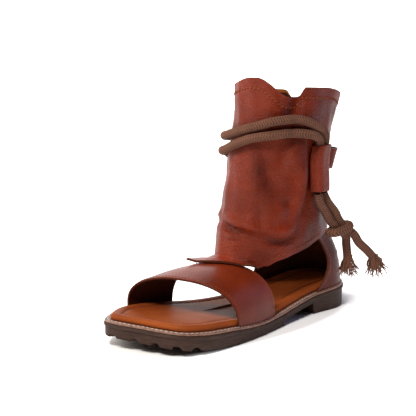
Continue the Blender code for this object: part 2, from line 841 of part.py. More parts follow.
def make_knot(mat):
    """Outer shape of the overhand knot: a short barrel lying along the shoe."""
    bpy.ops.mesh.primitive_cylinder_add(vertices=12, radius=KNOT_DIAMETER / 2, depth=KNOT_LENGTH)
    ob = bpy.context.object
    turn = Matrix.Rotation(-radians(KNOT_TURN), 4, "Z") @ Matrix.Rotation(pi / 2, 4, "X")
    ob.data.transform(Matrix.Translation(free_points(KNOT_PLACE)[0]) @ turn)
    bevel = ob.modifiers.new("Rounded ends", "BEVEL")
    bevel.width = KNOT_ROUND
    bevel.segments = 2
    bevel.limit_method = "ANGLE"
    bevel.angle_limit = radians(50)
    return finish(ob, "rope_knot", mat)


clear_scene()
PARTS = collection("gladiator_sandal")
CUTTERS = collection("cutters")
leather = material("leather", "#7A2F1C", 0.45)
lining = material("footbed_leather", "#A8521F", 0.5)
rubber = material("rubber", "#4C3A32", 0.7)
welt_mat = material("welt_strip", "#6A5040", 0.7)
cord = material("rope_fibre", "#6B5040", 0.9)

make_outsole(rubber)
make_welt(welt_mat)
make_footbed(lining)
make_upper(leather)
for row in KEEPERS:
    keeper(leather, *row)
make_rope(cord)
make_knot(cord)
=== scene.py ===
"""Gladiator sandal, a left shoe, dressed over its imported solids.

Metres. The toe points to -Y, the outer side of the foot is at +X and the floor is at Z 0.
"""
from math import cos, pi, radians, sin

import bmesh
import bpy
import numpy as np
from mathutils import Matrix, Vector


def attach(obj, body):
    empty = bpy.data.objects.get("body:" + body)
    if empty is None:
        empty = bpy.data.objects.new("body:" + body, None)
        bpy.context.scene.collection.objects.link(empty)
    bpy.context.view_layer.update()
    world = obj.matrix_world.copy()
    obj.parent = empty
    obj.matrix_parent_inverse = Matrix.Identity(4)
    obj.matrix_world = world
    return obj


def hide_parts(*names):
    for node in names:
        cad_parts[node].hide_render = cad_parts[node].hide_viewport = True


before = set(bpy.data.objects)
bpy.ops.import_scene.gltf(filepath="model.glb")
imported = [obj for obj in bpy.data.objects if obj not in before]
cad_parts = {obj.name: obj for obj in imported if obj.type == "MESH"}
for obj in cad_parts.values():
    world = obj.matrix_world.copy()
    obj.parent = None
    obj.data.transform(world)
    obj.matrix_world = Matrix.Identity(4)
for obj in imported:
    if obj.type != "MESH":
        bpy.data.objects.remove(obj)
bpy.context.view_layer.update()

# CAMERA
# One camera at the photograph's angle, a little above the shoe and in front of its outer side.
LOOK_AT = Vector((-0.0349, 0.0, 0.0929))
AZIMUTH, ELEVATION, DISTANCE = 45.0, 9.5, 0.841
FOCAL_PIXELS, FRAME_PIXELS, SENSOR = 981.5, 416, 36.0

bpy.ops.object.camera_add()
camera = bpy.context.object
camera.name = "camera"
turn, lift = radians(AZIMUTH), radians(ELEVATION)
away = Vector((sin(turn) * cos(lift), -cos(turn) * cos(lift), sin(lift)))
camera.location = LOOK_AT + away * DISTANCE
camera.rotation_euler = (-away).to_track_quat("-Z", "Y").to_euler()
camera.data.sensor_width = SENSOR
camera.data.lens = FOCAL_PIXELS / FRAME_PIXELS * SENSOR
camera.data.clip_start = 0.05
camera.data.clip_end = 20
bpy.context.scene.camera = camera

# STUDIO
# Glowing white floor with a painted shadow under the shoe, and lit paper behind it. The key hangs in front
# of the shoe, high over the camera, one box lights its left side, a strip behind draws its heel and one
# lies flat overhead.
TABLE_SIZE = 8
# Half sizes of the painted shadow's ellipse on the floor, across and along the shoe.
PAINTED_SHADOW_ACROSS, PAINTED_SHADOW_ALONG = 0.052, 0.132
PAPER_AWAY, PAPER_WIDE, PAPER_TALL = 1.9, 2.6, 1.9


def linear(code):
    """An sRGB hex colour as linear RGBA."""
    parts = [int(code[i:i + 2], 16) / 255 for i in (1, 3, 5)]
    line = [c / 12.92 if c <= 0.04045 else ((c + 0.055) / 1.055) ** 2.4 for c in parts]
    return (*line, 1.0)


def add_node(tree, kind, settings=(), links=()):
    """Add a shader node; settings name its properties or sockets, links feed its inputs."""
    made = tree.nodes.new(kind)
    for key, value in dict(settings).items():
        if isinstance(key, str) and hasattr(made, key):
            setattr(made, key, value)
        else:
            made.inputs[key].default_value = value
    for key, source in dict(links).items():
        tree.links.new(source, made.inputs[key])
    return made


def bare_material(name):
    """An empty material, its tree and its Principled shader."""
    made = bpy.data.materials.new(name)
    made.use_nodes = True
    tree = made.node_tree
    return made, tree, tree.nodes["Principled BSDF"]


def soft_box(name, place, aim, size, power, colour="#FFFFFF"):
    """A rectangular studio light turned towards a point."""
    bpy.ops.object.light_add(type="AREA", location=place)
    lamp = bpy.context.object
    lamp.name = name
    lamp.data.shape = "RECTANGLE"
    lamp.data.size, lamp.data.size_y = size
    lamp.data.energy = power
    lamp.data.color = linear(colour)[:3]
    lamp.rotation_euler = (Vector(aim) - Vector(place)).to_track_quat("-Z", "Y").to_euler()
    return lamp


bpy.ops.object.select_all(action="DESELECT")
bpy.ops.mesh.primitive_plane_add(size=TABLE_SIZE)
floor = bpy.context.object
floor.name = "studio_floor"
# The floor glows white as painted light, and the glow fades out in an ellipse under the shoe as a painted
# contact shadow.
paper, tree, shader = bare_material("floor_glow_painted_shadow")
place = add_node(tree, "ShaderNodeTexCoord").outputs["Object"]
shares = (1 / PAINTED_SHADOW_ACROSS, 1 / PAINTED_SHADOW_ALONG, 0.0)
plan = add_node(tree, "ShaderNodeVectorMath", {"operation": "MULTIPLY", 1: shares}, {0: place})
off = add_node(tree, "ShaderNodeVectorMath", {"operation": "LENGTH"}, {0: plan.outputs["Vector"]})
painted_floor_glow = add_node(tree, "ShaderNodeMapRange",
                {"interpolation_type": "SMOOTHSTEP", "From Min": 0.96, "From Max": 1.22, "To Max": 0.80},
                {"Value": off.outputs["Value"]})
tree.links.new(painted_floor_glow.outputs[0], shader.inputs["Emission Strength"])
shader.inputs["Emission Color"].default_value = linear("#FFFFFF")
shader.inputs["Base Color"].default_value = linear("#E6E6E6")
shader.inputs["Roughness"].default_value = 0.9
shader.inputs["Specular IOR Level"].default_value = 0.1
floor.data.materials.append(paper)

# The lit paper behind the shoe is bright enough to read as pure white.
bpy.ops.object.select_all(action="DESELECT")
bpy.ops.mesh.primitive_plane_add(size=1)
backdrop = bpy.context.object
backdrop.name = "studio_backdrop"
toward = Vector((-sin(turn), cos(turn), 0.0))
raised = toward.to_track_quat("-Z", "Y").to_matrix().to_4x4()
standing = Matrix.Translation(toward * PAPER_AWAY + Vector((0, 0, 1.0))) @ raised
backdrop.data.transform(standing @ Matrix.Diagonal((PAPER_WIDE, PAPER_TALL, 1.0, 1.0)))
lit_paper, tree, shader = bare_material("lit_paper")
shader.inputs["Base Color"].default_value = linear("#FFFFFF")
shader.inputs["Emission Color"].default_value = linear("#FFFFFF")
shader.inputs["Emission Strength"].default_value = 1.15
backdrop.data.materials.append(lit_paper)

world = bpy.data.worlds.new("studio")
bpy.context.scene.world = world
world.use_nodes = True
world.node_tree.nodes["Background"].inputs["Color"].default_value = linear("#F3F1FF")
world.node_tree.nodes["Background"].inputs["Strength"].default_value = 0.03
bpy.context.scene.view_settings.view_transform = "Standard"

soft_box("key_box", (0.30, -0.95, 1.40), (0, 0, 0.10), (0.45, 0.45), 31.0, "#FFFAF4")
soft_box("left_box", (-1.10, -0.75, 0.60), (0, 0, 0.10), (0.35, 0.60), 16.0, "#FFF6EE")
soft_box("edge_box", (0.55, 0.95, 0.50), (0, 0.05, 0.10), (0.25, 0.9), 2.5, "#DAD4FF")
soft_box("top_box", (-0.2, 0.05, 1.4), (0, 0, 0.1), (0.9, 0.9), 4.0)

# ROPE
# Braided cord with a soft core, about 7.6 mm thick. It is doubled round the shaft through both
# keepers, and its ends are tied in one overhand knot and left to fray.
ROPE_DIAMETER = 0.0076
SHAFT_HEIGHT = 0.200
SOLE_LENGTH = 0.250
SHAFT_WIDTH = 0.074
STRAP_HEIGHT = 0.055


def along(share):
    """The Y of a share of the sole length counted from the heel."""
    return SOLE_LENGTH * (0.5 - share)


def curve_through(rows, at):
    """Rows of numbers read as one smooth curve; at runs from 0 to 1 over the rows."""
    rows = np.asarray(rows, float)
    rows = np.vstack([2 * rows[0] - rows[1], rows, 2 * rows[-1] - rows[-2]])
    t = np.clip(np.asarray(at, float), 0, 1) * (len(rows) - 3)
    i = np.minimum(t.astype(int), len(rows) - 4)
    f = (t - i)[..., None]
    p0, p1, p2, p3 = (rows[i + k] for k in range(4))
    m1, m2 = (p2 - p0) / 2, (p3 - p1) / 2
    return ((2 * f ** 3 - 3 * f ** 2 + 1) * p1 + (f ** 3 - 2 * f ** 2 + f) * m1
            + (3 * f ** 2 - 2 * f ** 3) * p2 + (f ** 3 - f ** 2) * m2)


def table_at(rows, key):
    """The second and later columns of a table at values of its first column, smoothly."""
    rows = np.asarray(rows, float)
    if rows[0, 0] > rows[-1, 0]:
        rows = rows[::-1]
    key = np.asarray(key, float)
    last = len(rows) - 1
    place = np.interp(key, rows[:, 0], np.arange(last + 1))
    low = np.clip(place.astype(int), 0, last - 1)
    near = np.stack([rows[np.clip(low + k, 0, last), 1:] for k in (-1, 0, 1, 2)])
    return np.clip(curve_through(rows, place / last)[..., 1:], near.min(axis=0), near.max(axis=0))


def even_run(points, gap):
    """Points at even distances on a smooth curve through the given ones."""
    fine = curve_through(points, np.linspace(0, 1, 1201))
    run = np.r_[0, np.cumsum(np.linalg.norm(np.diff(fine, axis=0), axis=1))]
    at = np.linspace(0, run[-1], max(int(run[-1] / gap), 4))
    return np.stack([np.interp(at, run, fine[:, k]) for k in range(3)], axis=1)


def cross_frames(line):
    """Two unit directions across a line at each point, carried along without twist."""
    ahead = np.gradient(line, axis=0)
    ahead /= np.linalg.norm(ahead, axis=1)[:, None]
    start = np.cross(ahead[0], (0.0, 0.0, 1.0) if abs(ahead[0][2]) < 0.9 else (1.0, 0.0, 0.0))
    side = [start / np.linalg.norm(start)]
    for t in ahead[1:]:
        v = side[-1] - t * (side[-1] @ t)
        side.append(v / np.linalg.norm(v))
    side = np.array(side)
    return ahead, side, np.cross(ahead, side)


def mesh_object(name, points, faces):
    """A mesh object with smooth faces at the origin."""
    data = bpy.data.meshes.new(name)
    data.from_pydata([tuple(p) for p in points], [], faces)
    data.shade_smooth()
    ob = bpy.data.objects.new(name, data)
    bpy.context.scene.collection.objects.link(ob)
    return ob


BRAID_PITCH, BRAID_STEPS = 0.0021, 6
BRAID_COLUMNS = 8
BRAID_RISE = 0.085


def braid(name, points, spread=None, sides=32, twist=0.0):
    """A braided cord: ribs of yarn lean one way in one column and back in the next."""
    line = even_run(points, BRAID_PITCH / BRAID_STEPS)
    ahead, side, up = cross_frames(line)
    count = len(line)
    run = np.arange(count) / BRAID_STEPS
    angle = np.arange(sides) * 2 * pi / sides
    wave = np.abs(((angle[None, :] + twist * run[:, None]) * BRAID_COLUMNS / (2 * pi)) % 2 - 1)
    rib = 0.5 + 0.5 * np.cos(2 * pi * (run[:, None] + 0.75 * wave))
    seam = 0.5 - 0.5 * np.cos(2 * pi * wave)
    width = np.ones(count) if spread is None else np.interp(np.linspace(0, 1, count), *spread)
    ease = np.clip(np.minimum(np.arange(count), np.arange(count)[::-1]) / 5.0, 0, 1)
    width = width * (0.72 + 0.28 * np.sqrt(1 - (1 - ease) ** 2))
    relief = 0.965 + BRAID_RISE * (rib * 1.3 - 0.4) * (0.45 + 0.55 * seam)
    reach = ROPE_DIAMETER / 2 * width[:, None] * relief
    points3 = (line[:, None, :] + reach[:, :, None] * (np.cos(angle)[None, :, None] * side[:, None, :]
               + np.sin(angle)[None, :, None] * up[:, None, :])).reshape(-1, 3)
    faces = []
    for i in range(count - 1):
        for j in range(sides):
            k = (j + 1) % sides
            faces.append((i * sides + j, i * sides + k, (i + 1) * sides + k, (i + 1) * sides + j))
    faces.append(tuple(range(sides))[::-1])
    faces.append(tuple((count - 1) * sides + j for j in range(sides)))
    ob = mesh_object(name, points3, faces)
    # The rib pattern is kept for the material, which paints shade into the grooves between the ribs.
    tone = ob.data.attributes.new("yarn", "FLOAT", "POINT")
    tone.data.foreach_set("value", (rib * (0.5 + 0.5 * seam)).ravel().astype(np.float32))
    ob.data.materials.append(rope_yarn)
    return ob, line


def noise(tree, where, scale, detail, rough=0.5):
    """Soft noise over a piece, as a value."""
    return add_node(tree, "ShaderNodeTexNoise", {"Scale": scale, "Detail": detail, "Roughness": rough},
                    {"Vector": where}).outputs["Fac"]


def plus_part(tree, first, part, second):
    """The second value plus a part of the first one."""
    return add_node(tree, "ShaderNodeMath", {"operation": "MULTIPLY_ADD", 1: part},
                    {0: first, 2: second}).outputs[0]


def between(tree, value, low, high):
    """A colour that a value picks between two stops, each a position and a hex colour."""
    ramp = add_node(tree, "ShaderNodeValToRGB", links={"Fac": value})
    for stop, (position, code) in zip(ramp.color_ramp.elements, (low, high)):
        stop.position = position
        stop.color = linear(code)
    return ramp.outputs["Color"]


def surface(tree, shader, colour, relief, strength, deep, rough, gloss=0.5):
    """Join a colour and a relief to the shader; deep is the relief's depth in metres."""
    bump = add_node(tree, "ShaderNodeBump", {"Strength": strength, "Distance": deep}, {"Height": relief})
    tree.links.new(colour, shader.inputs["Base Color"])
    tree.links.new(bump.outputs["Normal"], shader.inputs["Normal"])
    shader.inputs["Roughness"].default_value = rough
    shader.inputs["Specular IOR Level"].default_value = gloss


# Cotton and jute yarn: dull fibres. Painted shade darkens the cord between its ribs so the crowns read
# paler; on frayed yarns the tone varies at random.
rope_yarn, tree, shader = bare_material("braided_cotton_cord")
place = add_node(tree, "ShaderNodeTexCoord").outputs["Object"]
rib_shade_and_yarn_tone = add_node(tree, "ShaderNodeAttribute", {"attribute_name": "yarn"}).outputs["Fac"]
fuzz = noise(tree, place, 900.0, 4.0)
tone = plus_part(tree, noise(tree, place, 70.0, 2.0), 0.5, plus_part(tree, fuzz, 0.45, rib_shade_and_yarn_tone))
colour = between(tree, tone, (0.35, "#180C07"), (0.967, "#664334"))
surface(tree, shader, colour, fuzz, 0.5, 0.0004, 0.92, 0.2)

# Upper from its lower edge to the collar. Columns: front height, front place, back height, back place,
# breadth, squareness, sag of the sides; heights are shares of the shaft height, places of the sole
# length from the heel, breadths of the shaft width and the sag of the strap height.
SHAFT = (
    (0.298, 0.562, 0.372, 0.086, 0.89, 2.4, 0.140),
    (0.332, 0.556, 0.398, 0.089, 0.92, 2.3, 0.120),
    (0.385, 0.551, 0.436, 0.091, 0.95, 2.2, 0.070),
    (0.450, 0.540, 0.478, 0.093, 0.97, 2.2, 0.030),
    (0.520, 0.521, 0.520, 0.096, 0.97, 2.2, 0.000),
    (0.600, 0.499, 0.600, 0.097, 0.97, 2.2, 0.000),
    (0.700, 0.488, 0.700, 0.102, 0.97, 2.2, 0.000),
    (0.790, 0.472, 0.790, 0.088, 0.96, 2.2, 0.000),
    (0.860, 0.463, 0.860, 0.072, 0.96, 2.2, 0.000),
    (0.925, 0.460, 0.925, 0.046, 0.97, 2.2, 0.000),
    (0.985, 0.455, 0.965, 0.042, 1.00, 2.2, 0.000),
)

# Collar edge. Columns: angle from the front towards the outer side, rise as a share of the height.
COLLAR = (
    (-180, -0.062),
    (-134, -0.060),
    (-127, -0.019),
    (-116, -0.014),
    (-90, -0.008),
    (-60, -0.014),
    (-48, -0.006),
    (-38, 0.004),
    (-28, 0.013),
    (-15, 0.022),
    (0, 0.036),
    (14, 0.038),
    (30, 0.011),
    (45, -0.031),
    (58, -0.040),
    (67, -0.040),
    (71.5, 0.003),
    (100, 0.003),
    (125, -0.014),
    (145, -0.037),
    (160, -0.050),
    (180, -0.062),
)

# Broad folds of the shaft. Columns: angle, share of the shaft height, depth in shaft widths,
# half width in degrees, half height as a share of the shaft height.
BROAD_FOLDS = (
    (62, 0.95, 0.070, 11, 0.24),
    (58, 0.66, 0.050, 13, 0.17),
    (82, 0.66, -0.020, 7, 0.22),
    (104, 0.66, 0.052, 15, 0.13),
    (20, 0.46, 0.040, 60, 0.050),
    (30, 0.38, -0.025, 45, 0.050),
)


# The lip at the front spans this angle to both sides, and the edge dips beside its outer corner.
LIP_HALF_ANGLE, CORNER_DIP = 52, 0.0034


def shaft_place(angle, up, out=0.0):
    """Places off the shaft's outer face; angle from the front to the outer side, up from the edge."""
    angle, up, out = np.broadcast_arrays(*(np.asarray(part, float) for part in (angle, up, out)))
    f_up, f_at, b_up, b_at, breadth, square, sag = np.moveaxis(curve_through(SHAFT, up), -1, 0)
    s, c = np.sin(np.radians(angle)), np.cos(np.radians(angle))
    side = np.sign(s) * np.abs(s) ** (2 / square)
    reach = np.sign(c) * np.abs(c) ** (2 / square)
    front, back = along(f_at), along(b_at)
    half, depth = SHAFT_WIDTH / 2 * breadth, np.abs(front - back) / 2
    z = SHAFT_HEIGHT * ((f_up + b_up) / 2 + (f_up - b_up) / 2 * reach)
    z = z - STRAP_HEIGHT * sag * s * s * (1 + c)
    turned = (angle + 180) % 360 - 180
    z = z - CORNER_DIP * np.exp(-((turned - LIP_HALF_ANGLE - 2) / 8) ** 2) * np.maximum(1 - up / 0.14, 0)
    collar = table_at(COLLAR, (angle + 180) % 360 - 180)[..., 0]
    z = z + SHAFT_HEIGHT * collar * np.maximum(up - 0.72, 0) ** 2 / 0.0784
    away = np.stack([side / half, -reach / depth])
    away /= np.linalg.norm(away, axis=0)
    drawn = 0.0
    for at, level, deep, wide, tall in BROAD_FOLDS:
        turned = (angle - at + 180) % 360 - 180
        far = (turned / wide) ** 2 + ((z / SHAFT_HEIGHT - level) / tall) ** 2
        drawn = drawn + SHAFT_WIDTH * deep * np.exp(-far)
    x = half * side + away[0] * (out - drawn)
    y = (front + back) / 2 + (front - back) / 2 * reach + away[1] * (out - drawn)
    return np.stack([x, y, z], axis=-1)


def row_at(angle, height, low=0.0):
    """The row, from the edge up to the collar, at which the shaft reaches a height."""
    low, high = np.full(np.shape(angle), low), np.ones(np.shape(angle))
    for _ in range(22):
        mid = (low + high) / 2
        under = shaft_place(angle, mid)[..., 2] < height
        low, high = np.where(under, mid, low), np.where(under, high, mid)
    return (low + high) / 2


def at_height(angle, share, out):
    """Places off the shaft's outer face at shares of the shaft height."""
    angle, share = np.broadcast_arrays(np.asarray(angle, float), np.asarray(share, float))
    return shaft_place(angle, row_at(angle, share * SHAFT_HEIGHT), out)


# Rope round the shaft. Columns: angle, share of the shaft height, stand-off in rope diameters.
ROPE_ROUTE = (
    (106.2, 0.545, 0.61),
    (106.2, 0.600, 0.61),
    (106.2, 0.660, 0.61),
    (106.2, 0.715, 0.61),
    (103.5, 0.764, 0.63),
    (96, 0.800, 0.67),
    (86, 0.822, 0.65),
    (74, 0.844, 0.73),
    (62, 0.853, 0.89),
    (50, 0.852, 0.73),
    (35, 0.845, 0.63),
    (20, 0.829, 0.63),
    (5, 0.813, 0.63),
    (-10, 0.794, 0.65),
    (-25, 0.780, 0.65),
    (-50, 0.770, 0.69),
    (-85, 0.755, 0.71),
    (-120, 0.743, 0.73),
    (-140, 0.740, 0.73),
    (-156, 0.739, 0.71),
    (-168, 0.729, 0.71),
    (-177.5, 0.700, 0.71),
    (-181, 0.654, 0.69),
    (-177.5, 0.608, 0.67),
    (-168, 0.579, 0.67),
    (-156, 0.571, 0.69),
    (-140, 0.576, 0.71),
    (-120, 0.594, 0.73),
    (-85, 0.652, 0.69),
    (-60, 0.699, 0.65),
    (-40, 0.711, 0.65),
    (-20, 0.724, 0.65),
    (-5, 0.748, 0.63),
    (8, 0.770, 0.63),
    (20, 0.782, 0.63),
    (35, 0.790, 0.63),
    (50, 0.796, 0.69),
    (62, 0.797, 0.77),
    (74, 0.794, 0.69),
    (84, 0.785, 0.65),
    (91.5, 0.770, 0.63),
    (96.0, 0.744, 0.61),
    (97.7, 0.705, 0.61),
    (97.8, 0.650, 0.61),
    (97.8, 0.595, 0.61),
    (97.8, 0.545, 0.61),
)
rope_angle, rope_share, rope_off = np.array(ROPE_ROUTE).T
route = at_height(rope_angle, rope_share, rope_off * ROPE_DIAMETER)
wrap, _ = braid("rope_round_shaft", route, sides=24)
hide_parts("rope_wrap")
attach(wrap, "root")

# Free stretches below the outer keeper.
# Columns: place across in shaft widths, share of the length from the heel, share of the shaft height.
DROP_REAR = ((0.4990, 0.2350, 0.5360), (0.5330, 0.2220, 0.4950),
             (0.5870, 0.2000, 0.4500), (0.6080, 0.1880, 0.4175))
DROP_FRONT = ((0.5160, 0.2692, 0.5370), (0.5360, 0.2616, 0.4950),
              (0.5730, 0.2416, 0.4470), (0.5892, 0.2248, 0.4145))
TAIL_SHORT = ((0.6257, 0.1536, 0.3420), (0.6243, 0.1456, 0.3000),
              (0.6324, 0.1432, 0.2650), (0.6392, 0.1420, 0.2410))
TAIL_LONG = ((0.7162, 0.1412, 0.3490), (0.7378, 0.1184, 0.3090),
             (0.7703, 0.0856, 0.2730), (0.8000, 0.0584, 0.2370))
DROP_REAR, DROP_FRONT, TAIL_SHORT, TAIL_LONG = (
    tuple((SHAFT_WIDTH * across, along(share), SHAFT_HEIGHT * up) for across, share, up in rows)
    for rows in (DROP_REAR, DROP_FRONT, TAIL_SHORT, TAIL_LONG))


# Inside the knot each cord bends once and leaves as its own tail.
THROUGH_REAR = ((0.0478, 0.0828, 0.0766),)
THROUGH_FRONT = ((0.0448, 0.0765, 0.0757),)
rear_cord, rear_line = braid("rope_rear_end", DROP_REAR + THROUGH_REAR + TAIL_LONG)
front_cord, front_line = braid("rope_front_end", DROP_FRONT + THROUGH_FRONT + TAIL_SHORT)

# The knot: both ends run up and over together, so one fat turn of two cords shows from outside.
KNOT_PLACE = np.array((0.0462, 0.0780, 0.0752))
KNOT_TURN = radians(17)
knot_along = np.array((sin(KNOT_TURN), cos(KNOT_TURN), 0.0))
knot_out = np.array((cos(KNOT_TURN), -sin(KNOT_TURN), 0.0))
knot_up = np.array((0.0, 0.0, 1.0))
# The band of the knot in its own directions: along, out and up, in millimetres.
KNOT_BAND = (
    (3.0, -5.6, -1.0),
    (-4.5, -5.2, -2.4),
    (-9.2, -0.8, -2.6),
    (-6.6, 4.6, -2.0),
    (0.0, 6.0, -0.2),
    (6.8, 4.6, 1.8),
    (9.4, 0.0, 2.8),
    (6.0, -4.8, 2.6),
    (-1.5, -6.2, 3.0),
)
turn_points = [KNOT_PLACE + (a * knot_along + b * knot_out + c * knot_up) / 1000 for a, b, c in KNOT_BAND]
knot, _ = braid("rope_knot_band", turn_points, sides=28)

# Frayed ends: a few dozen loose yarns, each a thin bent thread of its own.
FRAY_YARNS = 60
FRAY_YARN_THICK = 0.00085
FRAY_STEPS = 6
FRAY_SPLAY, FRAY_SWAY, FRAY_CURL = 0.0084, 0.0011, 0.012
FRAY_ROOT = 0.002


def frayed_end(name, start, end, seed):
    """Loose yarns that leave a cut end and splay out towards the floor."""
    pick = np.random.default_rng(seed)
    start, end = np.array(start), np.array(end)
    ahead = (end - start) / np.linalg.norm(end - start)
    side = np.cross(ahead, (0.0, 1.0, 0.0))
    side /= np.linalg.norm(side)
    across = np.cross(ahead, side)
    points, faces = [], []
    for _ in range(FRAY_YARNS):
        a = pick.uniform(0, 2 * pi)
        r = ROPE_DIAMETER * 0.44 * pick.uniform(0.1, 1) ** 0.5
        out = side * cos(a) + across * sin(a)
        reach = pick.uniform(0.55, 1.0) * np.linalg.norm(end - start)
        splay = pick.uniform(0.25, 1.0) * FRAY_SPLAY
        sway = (side * pick.normal() + across * pick.normal()) * FRAY_SWAY
        curl = pick.uniform(-0.4, 1.0)
        line = []
        for k in range(FRAY_STEPS + 1):
            t = k / FRAY_STEPS
            lift = max(t - 0.6, 0) ** 2 * curl * FRAY_CURL
            line.append(start + ahead * ((reach + FRAY_ROOT) * t - FRAY_ROOT) + out * (r + splay * t ** 1.5)
                        + sway * sin(t * 5.5 + a) + np.array([0, 0, lift]))
        line = np.array(line)
        _, s, u = cross_frames(line)
        base = len(points)
        for k in range(FRAY_STEPS + 1):
            thick = FRAY_YARN_THICK * (1 - 0.55 * k / FRAY_STEPS) * pick.uniform(0.8, 1.1)
            for j in range(4):
                b = j * pi / 2
                points.append(line[k] + (s[k] * cos(b) + u[k] * sin(b)) * thick)
        for k in range(FRAY_STEPS):
            for j in range(4):
                m = (j + 1) % 4
                near, far = base + k * 4, base + k * 4 + 4
                faces.append((near + j, near + m, far + m, far + j))
        faces.append((base + 3, base + 2, base + 1, base))
        faces.append(tuple(base + 4 * FRAY_STEPS + j for j in range(4)))
    ob = mesh_object(name, points, faces)
    tone = ob.data.attributes.new("yarn", "FLOAT", "POINT")
    tone.data.foreach_set("value", pick.uniform(0.2, 0.9, len(points)).astype(np.float32))
    ob.data.materials.append(rope_yarn)
    return ob


fray_short = frayed_end("rope_fray_short_yarns", (0.0474, 0.0895, 0.0482), (0.0492, 0.0900, 0.0312), 3)
fray_long = frayed_end("rope_fray_long_yarns", (0.0596, 0.1112, 0.0472), (0.0622, 0.1150, 0.0308), 8)

for piece, nodes in ((rear_cord, ("rope_drop_rear", "rope_tail_long")),
                     (front_cord, ("rope_drop_front", "rope_tail_short")),
                     (knot, ("rope_knot",)),
                     (fray_short, ("rope_fray_short",)),
                     (fray_long, ("rope_fray_long",))):
    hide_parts(*nodes)
    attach(piece, "root")

# OUTSOLE
# Moulded rubber sole: low heel block, thin waist, toe spring with lug grooves along its front, and
# a lip round the rim. It is one body, laid as a tube of rings from under the foot up to the welt.
BALL_WIDTH, HEEL_WIDTH = 0.0982, 0.064
SOLE_HEIGHT, WAIST_SHARE = 0.0215, 0.36
RIM_LIP, RIM_LIP_DEPTH = 0.0009, 0.0030
WELT_THICKNESS, WELT_WIDTH, WELT_SET_IN = 0.0016, 0.0090, 0.0007
CLEARANCE = 0.0003
BREAST_ALONG, TREAD_END, TREAD_STEP = 0.062, 0.018, 0.0042
LUG_GROOVE_DEPTH, LUG_GROOVE_WIDTH, LUG_GROOVE_LENGTH = 0.0028, 0.0076, 0.026

# Sole plan, walked from the heel over the outer side to the toe and back.
# Columns: the width it follows, share of the length from the heel, share of that width.
PLAN = (
    ("heel", 0.000, 0.02),
    ("heel", 0.037, 0.345),
    ("heel", 0.116, 0.535),
    ("heel", 0.260, 0.525),
    ("ball", 0.420, 0.395),
    ("ball", 0.580, 0.472),
    ("ball", 0.724, 0.500),
    ("ball", 0.845, 0.488),
    ("ball", 0.922, 0.380),
    ("ball", 0.966, 0.100),
    ("ball", 0.999, -0.210),
    ("ball", 0.945, -0.376),
    ("ball", 0.856, -0.492),
    ("ball", 0.732, -0.500),
    ("ball", 0.576, -0.416),
    ("heel", 0.418, -0.500),
    ("heel", 0.260, -0.450),
    ("heel", 0.116, -0.450),
    ("heel", 0.032, -0.310),
)

# Top of the rim and underside of the forefoot. Columns: share of the length from the heel, share of
# the sole height.
RIM = ((0.00, 0.99), (0.12, 0.93), (0.24, 0.82), (0.34, 0.68), (0.44, 0.55), (0.54, 0.51), (0.62, 0.56),
       (0.72, 0.68), (0.84, 0.80), (1.00, 1.00))
FORE_UNDERSIDE = ((0.64, 0.00), (0.72, 0.05), (0.80, 0.12), (0.90, 0.24), (1.00, 0.40))

# Lug grooves. Columns: place across in ball widths, share of the length from the heel, turn.
LUGS = ((-0.160, 0.992, -5), (0.030, 0.972, 10), (0.210, 0.948, 16), (0.375, 0.919, 40), (0.463, 0.867, 66))
OUTLINE_STEPS = 24


def plan_outline():
    """The sole's plan as a closed loop of (x, y), and the directions inwards."""
    width = {"heel": HEEL_WIDTH, "ball": BALL_WIDTH}
    knots = np.array([(width[of] * across, along(at)) for of, at, across in PLAN])
    around = np.vstack([knots[-1], knots, knots[:2]])
    steps = np.arange(len(knots) * OUTLINE_STEPS) / OUTLINE_STEPS
    loop = curve_through(around, (1 + steps) / (len(around) - 1))
    run = np.roll(loop, -1, axis=0) - np.roll(loop, 1, axis=0)
    run /= np.linalg.norm(run, axis=1)[:, None]
    return loop, np.stack([run[:, 1], -run[:, 0]], axis=1)


outline, inward = plan_outline()


def rim_height(y):
    """The height of the rim's top at places along the sole."""
    return SOLE_HEIGHT * table_at(RIM, 0.5 - np.asarray(y) / SOLE_LENGTH)[..., 0]


def underside(x, y):
    """The height of the tread: heel block, waist, ball and toe spring with its grooves."""
    waist = rim_height(y) - SOLE_HEIGHT * WAIST_SHARE
    fore = SOLE_HEIGHT * table_at(FORE_UNDERSIDE, 0.5 - y / SOLE_LENGTH)[..., 0]
    end = float(rim_height(TREAD_END) - SOLE_HEIGHT * WAIST_SHARE) - TREAD_STEP
    fore = np.where(y > 0.006, np.interp(y, (0.006, TREAD_END - 0.0015), (0.0, end)), fore)
    z = np.where(y > BREAST_ALONG + 0.0006, 0.0, np.where(y > TREAD_END, waist, fore))
    for across, share, turned in LUGS:
        ahead = np.array([sin(radians(turned)), -cos(radians(turned))])
        dx, dy = x - BALL_WIDTH * across, y - along(share)
        inside = -(dx * ahead[0] + dy * ahead[1])
        aside = np.abs(dx * ahead[1] - dy * ahead[0]) / (LUG_GROOVE_WIDTH / 2)
        fade = np.clip((LUG_GROOVE_LENGTH * 0.8 - inside) / 0.008, 0, 1)
        cut = LUG_GROOVE_DEPTH * np.sqrt(np.clip(1 - aside ** 2, 0, 1)) * fade
        z = z + np.where(inside > -0.012, cut, 0)
    return z


def to_spine(share):
    """The outline drawn in towards the middle line of the sole; share 1 is the outline itself."""
    middle = np.stack([np.interp(outline[:, 1], (-0.12, -0.05, 0.03, 0.12), (-0.006, 0.0, 0.001, 0.001)),
                       np.clip(outline[:, 1], -0.088, 0.090)], axis=1)
    return middle + (outline - middle) * share


